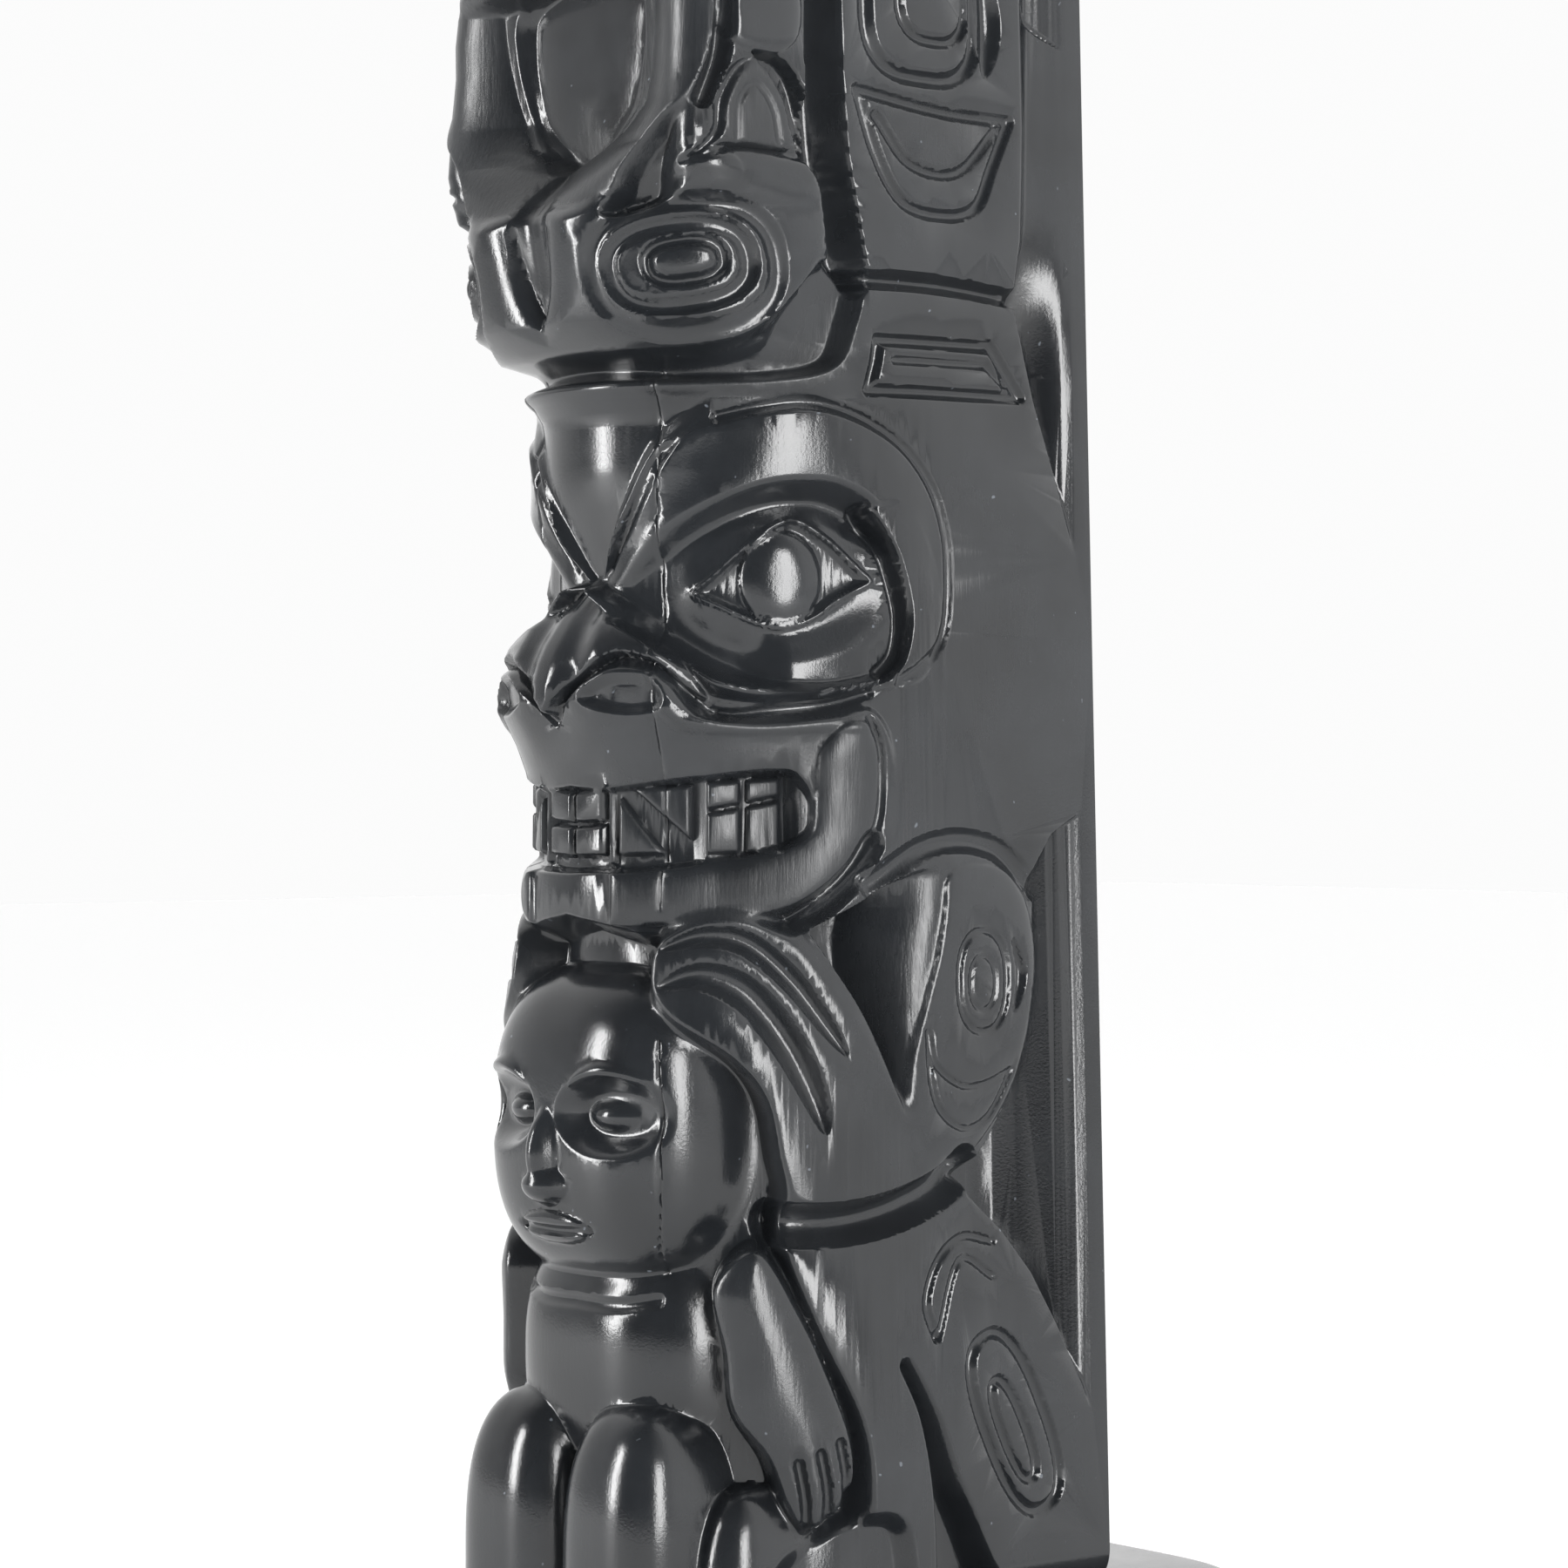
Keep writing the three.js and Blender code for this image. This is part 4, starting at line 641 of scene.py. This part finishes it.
def carve_hind_leg(c):
    c.groove(drawn((26, 43), (33, 42.8), (40, 43.8), (46.6, 46), (50, 48.4)), 3.2, 2.6)
    c.groove(drawn((46, 29.6), (44.6, 33.6), (46.4, 38.2), (50, 40.6), (54.4, 39.8)), 0.6, 0.7)
    c.groove(drawn((46.2, 29.6), (49.4, 38), (54.4, 35.9)), 0.5, 0.6)
    c.groove(ovoid(57.4, 19.4, 10.8, 4.4, -65, 2.6), 0.9, 0.9)
    c.groove(ovoid(57.2, 18.6, 6.2, 1.7, -65, 2.4), 0.8, 0.8)
    c.level(loop((41.8, 27), (44.4, 21.4), (46, 13.4), (46.4, 4), (46.4, -6), (57, -6), (52, 6),
                 (48.6, 13), (45.6, 20.6)), -4, 2.4)
    c.level(loop((26, 4), (31, 8.6), (36, 10.4), (40.6, 9.8), (42, 5), (42, -6), (26, -6)), -2.2, 2.4)


def carve_cracks(c):
    """Hairlines that opened in the stone as it dried."""
    c.groove(drawn((12.6, 136), (12.8, 127), (12.1, 116), (12.8, 105), (13.5, 93.8), (13.3, 77)), 0.3, 0.22)
    c.groove(drawn((13.9, 62.7), (14.3, 57.1), (14.3, 49.5), (13.9, 43.8), (12.3, 37)), 0.4, 0.24)
    c.groove(drawn((61.9, 179.3), (65, 176.4), (68.8, 174.3)), 0.4, 0.3, pointed=True)


def leave_satin(c):
    """The places that keep the marks of the tools."""
    c.worked(loop((19, 97.4), (25, 98), (32, 98), (37, 97.6), (39.4, 94), (39.2, 87), (36, 81.6),
                  (30, 77.4), (20, 75.6), (9, 76), (9, 80), (20, 81), (27, 83), (31, 87), (31, 92),
                  (28, 94), (20, 94.6)), 0.8, 2.5)
    c.worked(loop((7, 82.4), (17, 82.6), (28, 84), (28, 92), (17, 91.4), (7, 90.4)), 0.6, 1)
    c.worked(loop((47.5, 121), (49.6, 116), (50.2, 109), (48.2, 104.8), (50, 104.4), (52, 110),
                  (51.6, 117), (49, 122)), 1.0, 1)
    c.worked(loop((-6, 178), (3, 161), (9, 164), (11.6, 170), (12, 179), (22, 178), (22, 166), (13, 155),
                  (3, 154), (-6, 158)), 0.7, 2)
    c.worked(loop((12, 136), (24, 136), (31, 139), (36.5, 145), (38, 146), (37, 138), (30, 133.6),
                  (14, 133)), 0.9, 2)
    c.worked(loop((24, 159), (30, 159), (30, 165), (27, 168.6), (24.4, 167)), 0.9, 1)
    c.worked(loop((39, 159), (60, 159), (60.4, 166), (39, 167)), 0.4, 2)
    c.worked(loop((30.8, 74.6), (39.2, 61.4), (41.8, 54.6), (48, 79.4), (46, 83), (36, 80)), 0.5, 3)
    c.worked(loop((12, 66), (20, 66), (27, 57), (29, 45), (42, 45), (42, 56), (32, 73), (22, 77),
                  (13, 74)), 0.35, 3)
    c.worked(loop((20, 36), (21.5, 22), (27, 12), (34, 12), (34.6, 20), (28, 36), (24, 40)), 0.35, 3)


def carve_pole(columns, rows):
    c = Carving(columns, rows)
    carve_cove(c)
    carve_upper_head(c)
    carve_upper_body(c)
    carve_side_fin(c)
    carve_ear(c)
    carve_bear_face(c)
    carve_bear_mouth(c)
    carve_bear_nose(c)
    carve_small_figure(c)
    carve_small_face(c)
    carve_bear_arm(c)
    carve_hind_leg(c)
    carve_cracks(c)
    leave_satin(c)
    return c


# ---- helpers for the pieces ----
def start_primitive():
    """Nothing selected, object mode: each piece starts from here."""
    if bpy.context.object and bpy.context.object.mode != "OBJECT":
        bpy.ops.object.mode_set(mode="OBJECT")
    bpy.ops.object.select_all(action="DESELECT")


def apply_modifier(piece, kind, **settings):
    made = piece.modifiers.new(kind.title(), kind)
    for key, value in settings.items():
        setattr(made, key, value)
    bpy.ops.object.modifier_apply(modifier=made.name)


def select_edges(piece, test):
    """Leaves only the boundary edges that pass the test selected, in edit mode."""
    bpy.ops.object.mode_set(mode="EDIT")
    bpy.ops.mesh.select_mode(type="EDGE")
    bpy.ops.mesh.select_all(action="DESELECT")
    mesh = bmesh.from_edit_mesh(piece.data)
    for edge in mesh.edges:
        if edge.is_boundary and all(test(v.co) for v in edge.verts):
            edge.select = True
    bmesh.update_edit_mesh(piece.data)


def finish_piece(piece, name, node, material):
    piece.name = name
    piece.data.name = name
    piece.data.materials.clear()
    piece.data.materials.append(material)
    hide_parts(node)
    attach(piece, "root")


# ---- materials ----
def new_material(name):
    material = bpy.data.materials.new(name)
    material.use_nodes = True
    tree = material.node_tree
    tree.nodes.clear()
    output = tree.nodes.new("ShaderNodeOutputMaterial")
    shader = tree.nodes.new("ShaderNodeBsdfPrincipled")
    tree.links.new(shader.outputs["BSDF"], output.inputs["Surface"])
    return material, tree, shader


def noise(tree, coordinates, scale, detail=3.0, roughness=0.5, distortion=0.0):
    node = tree.nodes.new("ShaderNodeTexNoise")
    node.inputs["Scale"].default_value = scale
    node.inputs["Detail"].default_value = detail
    node.inputs["Roughness"].default_value = roughness
    node.inputs["Distortion"].default_value = distortion
    tree.links.new(coordinates, node.inputs["Vector"])
    return node.outputs["Fac"]


def stretched(tree, coordinates, scale, turn=(0, 0, 0)):
    node = tree.nodes.new("ShaderNodeMapping")
    node.inputs["Scale"].default_value = scale
    node.inputs["Rotation"].default_value = turn
    tree.links.new(coordinates, node.inputs["Vector"])
    return node.outputs["Vector"]


def ramp(tree, value, stops):
    node = tree.nodes.new("ShaderNodeValToRGB")
    elements = node.color_ramp.elements
    while len(elements) > 1:
        elements.remove(elements[-1])
    elements[0].position, elements[0].color = stops[0][0], (*stops[0][1], 1)
    for place, colour in stops[1:]:
        elements.new(place).color = (*colour, 1)
    tree.links.new(value, node.inputs["Fac"])
    return node.outputs["Color"]


def arithmetic(tree, operation, first, second):
    node = tree.nodes.new("ShaderNodeMath")
    node.operation = operation
    for socket, value in zip(node.inputs, (first, second)):
        if isinstance(value, (int, float)):
            socket.default_value = value
        else:
            tree.links.new(value, socket)
    return node.outputs[0]


def argillite(name, settings):
    """Polished black stone: faint colour drift, uneven polish, and grain where tool marks stay."""
    material, tree, shader = new_material(name)
    place = tree.nodes.new("ShaderNodeTexCoord").outputs["Object"]
    tooled = tree.nodes.new("ShaderNodeAttribute")
    tooled.attribute_name = "tooled"
    marks = tooled.outputs["Fac"]
    dark = tuple(settings.stone_colour)
    pale = tuple(1.7 * channel for channel in dark)
    dust = tuple(9 * channel for channel in dark)
    drift = noise(tree, place, 60, 4, 0.6)
    ground = ramp(tree, drift, [(0.35, dark), (0.7, pale)])
    specks = ramp(tree, noise(tree, place, 900, 1, 0.5), [(0.79, (0, 0, 0)), (0.82, (1, 1, 1))])
    chalk = tree.nodes.new("ShaderNodeMixRGB")
    tree.links.new(specks, chalk.inputs["Fac"])
    tree.links.new(ground, chalk.inputs["Color1"])
    chalk.inputs["Color2"].default_value = (*dust, 1)
    tree.links.new(chalk.outputs["Color"], shader.inputs["Base Color"])
    patches = noise(tree, place, 240, 6, 0.7)
    strokes = noise(tree, stretched(tree, place, (1, 1, 0.1), (0.5, 0.3, 0)), 2200, 2, 0.6)
    polish = arithmetic(tree, "MULTIPLY_ADD", patches, 0.16)
    polish.node.inputs[2].default_value = settings.polish - 0.1
    uneven = arithmetic(tree, "MULTIPLY", arithmetic(tree, "ADD", strokes, 0.35), 0.3)
    rubbed = arithmetic(tree, "ADD", polish, arithmetic(tree, "MULTIPLY", uneven, marks))
    tree.links.new(rubbed, shader.inputs["Roughness"])
    shader.inputs["IOR"].default_value = 1.6
    grain = noise(tree, place, 3200, 3, 0.6)
    scratches = arithmetic(tree, "MULTIPLY", strokes, arithmetic(tree, "ADD", marks, 0.25))
    bump = tree.nodes.new("ShaderNodeBump")
    bump.inputs["Strength"].default_value = 0.3
    bump.inputs["Distance"].default_value = 0.00012
    relief = arithmetic(tree, "ADD", arithmetic(tree, "MULTIPLY", grain, 0.4), scratches)
    tree.links.new(relief, bump.inputs["Height"])
    tree.links.new(bump.outputs["Normal"], shader.inputs["Normal"])
    return material


# ---- sizes and colours a user would change ----
class TotemPoleSettings(bpy.types.PropertyGroup):
    columns: bpy.props.IntProperty(
        name="Columns", description="Points across the unrolled half of the pole", default=300, min=40,
        max=600)
    rows: bpy.props.IntProperty(
        name="Rows", description="Points up the pole", default=1000, min=100, max=2000)
    triangles: bpy.props.IntProperty(
        name="Triangles", description="Triangles left in the finished pole", default=190000, min=5000,
        max=199000)
    stone_colour: bpy.props.FloatVectorProperty(
        name="Stone Colour", description="Base colour of the black stone", subtype="COLOR",
        default=(0.013, 0.0145, 0.0165), min=0, max=1)
    polish: bpy.props.FloatProperty(
        name="Polish", description="Roughness of the rubbed surface", subtype="FACTOR", default=0.18,
        min=0, max=1)


class TotemPlinthSettings(bpy.types.PropertyGroup):
    edge_round: bpy.props.FloatProperty(
        name="Edge Rounding", description="Radius of the plinth's upper edge", subtype="DISTANCE",
        unit="LENGTH", default=2.2 * MM, min=0.2 * MM, max=6 * MM)
    widest: bpy.props.FloatProperty(
        name="Widest Line", description="How far behind its middle the plinth is widest",
        subtype="DISTANCE", unit="LENGTH", default=1 * MM)
    front_squareness: bpy.props.FloatProperty(
        name="Front Squareness", description="Shape of the front of the outline; 2 is round", default=2,
        min=2, max=8)
    back_squareness: bpy.props.FloatProperty(
        name="Back Squareness", description="Shape of the back of the outline; 2 is round", default=6,
        min=2, max=8)
    sides: bpy.props.IntProperty(
        name="Sides", description="Points round the plinth's outline", default=256, min=32, max=1024)


class TotemStageSettings(bpy.types.PropertyGroup):
    azimuth: bpy.props.FloatProperty(
        name="Camera Azimuth", description="Angle of the camera round the pole from its front",
        subtype="ANGLE", unit="ROTATION", default=math.radians(50))
    distance: bpy.props.FloatProperty(
        name="Camera Distance", description="From the pole's axis", subtype="DISTANCE", unit="LENGTH",
        default=0.5)
    eye_height: bpy.props.FloatProperty(
        name="Eye Height", description="Camera height above the plinth", subtype="DISTANCE",
        unit="LENGTH", default=0.091)
    side_shift: bpy.props.FloatProperty(
        name="Side Shift", description="Camera moved sideways", subtype="DISTANCE", unit="LENGTH",
        default=0.0022)
    left_power: bpy.props.FloatProperty(
        name="Left Softbox", description="Power of the lamp on the pole's left", subtype="POWER",
        default=5)
    right_power: bpy.props.FloatProperty(
        name="Right Softbox", description="Power of the lamp on the pole's right", subtype="POWER",
        default=5)
    lens: bpy.props.FloatProperty(
        name="Lens", description="Focal length in millimetres", subtype="DISTANCE_CAMERA", default=100)


# ---- operators ----
class TOTEM_OT_pole(bpy.types.Operator):
    """Carve the pole and put it over its solid"""

    bl_idname = "totem.pole"
    bl_label = "Carved Pole"

    def execute(self, context):
        settings = context.scene.totem_pole
        coarse = 1.0
        columns, rows = int(settings.columns * coarse), int(settings.rows * coarse)
        carving = carve_pole(columns, rows)
        x, y, z = carving.points()
        start_primitive()
        bpy.ops.mesh.primitive_grid_add(x_subdivisions=columns - 1, y_subdivisions=rows - 1, size=1)
        piece = context.object
        mesh = piece.data
        flat = np.zeros(len(mesh.vertices) * 3, np.float32)
        mesh.vertices.foreach_get("co", flat)
        flat = flat.reshape(-1, 3)
        column = np.rint((flat[:, 0] + 0.5) * (columns - 1)).astype(int)
        row = np.rint((flat[:, 1] + 0.5) * (rows - 1)).astype(int)
        carved = np.stack([x[row, column], y[row, column], z[row, column]], axis=1) * MM
        mesh.vertices.foreach_set("co", carved.astype(np.float32).ravel())
        tooled = mesh.attributes.new("tooled", "FLOAT", "POINT")
        tooled.data.foreach_set("value", carving.rough[row, column].astype(np.float32))
        mesh.update()
        apply_modifier(piece, "MIRROR", merge_threshold=1e-6)
        lowest, highest = FOOT_Z * MM, (FOOT_Z + POLE_HEIGHT) * MM
        for level in (lowest, highest):
            select_edges(piece, lambda p: abs(p.z - level) < 1e-6)
            bpy.ops.mesh.edge_face_add()
            bpy.ops.object.mode_set(mode="OBJECT")
        select_edges(piece, lambda p: abs(p.y - POLE_HIGH.y) < 1e-6)
        bpy.ops.mesh.edge_face_add()
        bpy.ops.mesh.select_all(action="SELECT")
        bpy.ops.mesh.quads_convert_to_tris(quad_method="SHORTEST_DIAGONAL")
        bpy.ops.mesh.normals_make_consistent(inside=False)
        bpy.ops.object.mode_set(mode="OBJECT")
        apply_modifier(piece, "DECIMATE", ratio=min(1.0, settings.triangles / len(mesh.polygons)))
        bpy.ops.object.shade_smooth_by_angle(angle=math.radians(60))
        finish_piece(piece, "carved_pole", "pole", argillite("black argillite", settings))
        return {"FINISHED"}


class TOTEM_OT_plinth(bpy.types.Operator):
    """Make the polished plinth with softened edges"""

    bl_idname = "totem.plinth"
    bl_label = "Plinth"

    def execute(self, context):
        settings = context.scene.totem_plinth
        start_primitive()
        centre = (PLINTH_LOW + PLINTH_HIGH) / 2
        size = PLINTH_HIGH - PLINTH_LOW
        bpy.ops.mesh.primitive_cylinder_add(vertices=settings.sides, radius=1, depth=size.z, location=centre)
        piece = context.object
        bpy.ops.object.transform_apply(location=True, rotation=True, scale=True)
        for vertex in piece.data.vertices:
            angle = math.atan2(vertex.co.y - centre.y, vertex.co.x - centre.x)
            c, s = math.cos(angle), math.sin(angle)
            power = 2 / (settings.back_squareness if s > 0 else settings.front_squareness)
            reach = size.y / 2 - math.copysign(settings.widest, s)
            vertex.co.x = centre.x + size.x / 2 * math.copysign(abs(c) ** power, c)
            vertex.co.y = centre.y + settings.widest + reach * math.copysign(abs(s) ** power, s)
        apply_modifier(piece, "BEVEL", width=settings.edge_round, segments=6, limit_method="ANGLE",
                       angle_limit=math.radians(60), harden_normals=False)
        bpy.ops.object.shade_smooth_by_angle(angle=math.radians(35))
        finish_piece(piece, "plinth_slab", "plinth",
                     argillite("polished plinth stone", context.scene.totem_pole))
        return {"FINISHED"}


def soft_light(name, azimuth, elevation, width, height, power, aim):
    """A rectangular studio lamp looking at the pole."""
    light = bpy.data.lights.new(name, "AREA")
    light.shape = "RECTANGLE"
    light.size, light.size_y = width, height
    light.energy = power
    lamp = bpy.data.objects.new(name, light)
    a, e = math.radians(azimuth), math.radians(elevation)
    away = Vector((math.sin(a) * math.cos(e), -math.cos(a) * math.cos(e), math.sin(e)))
    lamp.location = aim + away * LAMP_DISTANCE
    lamp.rotation_mode = "QUATERNION"
    lamp.rotation_quaternion = (-away).to_track_quat("-Z", "Y")
    lamp.visible_camera = False
    bpy.context.scene.collection.objects.link(lamp)
    return lamp


def studio_world():
    """White walls all round but for the dim side that the camera stands on."""
    world = bpy.data.worlds.new("studio")
    world.use_nodes = True
    tree = world.node_tree
    tree.nodes.clear()
    direction = tree.nodes.new("ShaderNodeTexCoord").outputs["Generated"]
    parts = tree.nodes.new("ShaderNodeSeparateXYZ")
    tree.links.new(direction, parts.inputs["Vector"])
    front = tree.nodes.new("ShaderNodeMath")
    front.operation = "MULTIPLY"
    front.inputs[1].default_value = -1
    tree.links.new(parts.outputs["Y"], front.inputs[0])
    azimuth = tree.nodes.new("ShaderNodeMath")
    azimuth.operation = "ARCTAN2"
    tree.links.new(parts.outputs["X"], azimuth.inputs[0])
    tree.links.new(front.outputs[0], azimuth.inputs[1])
    around = tree.nodes.new("ShaderNodeMapRange")
    around.inputs["From Min"].default_value = -math.pi
    around.inputs["From Max"].default_value = math.pi
    tree.links.new(azimuth.outputs[0], around.inputs["Value"])
    stops = [((degrees + 180) / 360, (level, level, level)) for degrees, level in WALL_LIGHT]
    walls = tree.nodes.new("ShaderNodeBackground")
    walls.inputs["Strength"].default_value = WALL_STRENGTH
    tree.links.new(ramp(tree, around.outputs["Result"], stops), walls.inputs["Color"])
    backdrop = tree.nodes.new("ShaderNodeBackground")
    backdrop.inputs["Color"].default_value = (BACKDROP_GREY, BACKDROP_GREY, BACKDROP_GREY, 1)
    path = tree.nodes.new("ShaderNodeLightPath")
    either = tree.nodes.new("ShaderNodeMixShader")
    tree.links.new(path.outputs["Is Camera Ray"], either.inputs[0])
    tree.links.new(walls.outputs[0], either.inputs[1])
    tree.links.new(backdrop.outputs[0], either.inputs[2])
    output = tree.nodes.new("ShaderNodeOutputWorld")
    tree.links.new(either.outputs[0], output.inputs["Surface"])
    return world


class TOTEM_OT_stage(bpy.types.Operator):
    """Lay the pale floor and set the camera and the soft lights"""

    bl_idname = "totem.stage"
    bl_label = "Studio Stage"

    def execute(self, context):
        settings = context.scene.totem_stage
        scene = context.scene
        start_primitive()
        bpy.ops.mesh.primitive_plane_add(size=FLOOR_SIZE, location=(0, 0, 0))
        floor = context.object
        floor.name = "studio_floor"
        material, _, shader = new_material("pale floor")
        shader.inputs["Base Color"].default_value = (FLOOR_GREY, FLOOR_GREY, FLOOR_GREY, 1)
        shader.inputs["Roughness"].default_value = FLOOR_ROUGHNESS
        shader.inputs["Emission Color"].default_value = (1, 1, 1, 1)
        shader.inputs["Emission Strength"].default_value = FLOOR_GLOW
        floor.data.materials.append(material)

        scene.world = studio_world()
        aim = Vector((0, POLE_Y * MM, PLINTH_HIGH.z + settings.eye_height))
        soft_light("left_softbox", power=settings.left_power, aim=aim, **LEFT_LAMP)
        soft_light("right_softbox", power=settings.right_power, aim=aim, **RIGHT_LAMP)

        camera = bpy.data.cameras.new("camera")
        camera.lens = settings.lens
        camera.sensor_width = 36
        camera.clip_start = 0.01
        eye = bpy.data.objects.new("camera", camera)
        a = settings.azimuth
        back = Vector((math.sin(a), -math.cos(a), 0))
        right = Vector((math.cos(a), math.sin(a), 0))
        eye.location = aim + back * settings.distance + right * settings.side_shift
        eye.rotation_mode = "QUATERNION"
        eye.rotation_quaternion = (-back).to_track_quat("-Z", "Y")
        scene.collection.objects.link(eye)
        scene.camera = eye
        scene.view_settings.view_transform = "Standard"
        return {"FINISHED"}


class TOTEM_PT_panel(bpy.types.Panel):
    """Sizes and the steps that build the pole"""

    bl_idname = "TOTEM_PT_panel"
    bl_label = "Totem Pole"
    bl_space_type = "VIEW_3D"
    bl_region_type = "UI"
    bl_category = "Totem Pole"

    def draw(self, context):
        scene = context.scene
        for group, operator in ((scene.totem_pole, "totem.pole"), (scene.totem_plinth, "totem.plinth"),
                                (scene.totem_stage, "totem.stage")):
            box = self.layout.box()
            for key in group.bl_rna.properties.keys():
                if key not in ("rna_type", "name"):
                    box.prop(group, key)
            box.operator(operator)


CLASSES = (TotemPoleSettings, TotemPlinthSettings, TotemStageSettings, TOTEM_OT_pole, TOTEM_OT_plinth,
           TOTEM_OT_stage, TOTEM_PT_panel)


def register():
    for item in CLASSES:
        bpy.utils.register_class(item)
    bpy.types.Scene.totem_pole = bpy.props.PointerProperty(type=TotemPoleSettings)
    bpy.types.Scene.totem_plinth = bpy.props.PointerProperty(type=TotemPlinthSettings)
    bpy.types.Scene.totem_stage = bpy.props.PointerProperty(type=TotemStageSettings)


def unregister():
    del bpy.types.Scene.totem_stage
    del bpy.types.Scene.totem_plinth
    del bpy.types.Scene.totem_pole
    for item in reversed(CLASSES):
        bpy.utils.unregister_class(item)


def main():
    register()
    bpy.ops.totem.stage()
    bpy.ops.totem.plinth()
    bpy.ops.totem.pole()


if __name__ == "__main__":
    main()
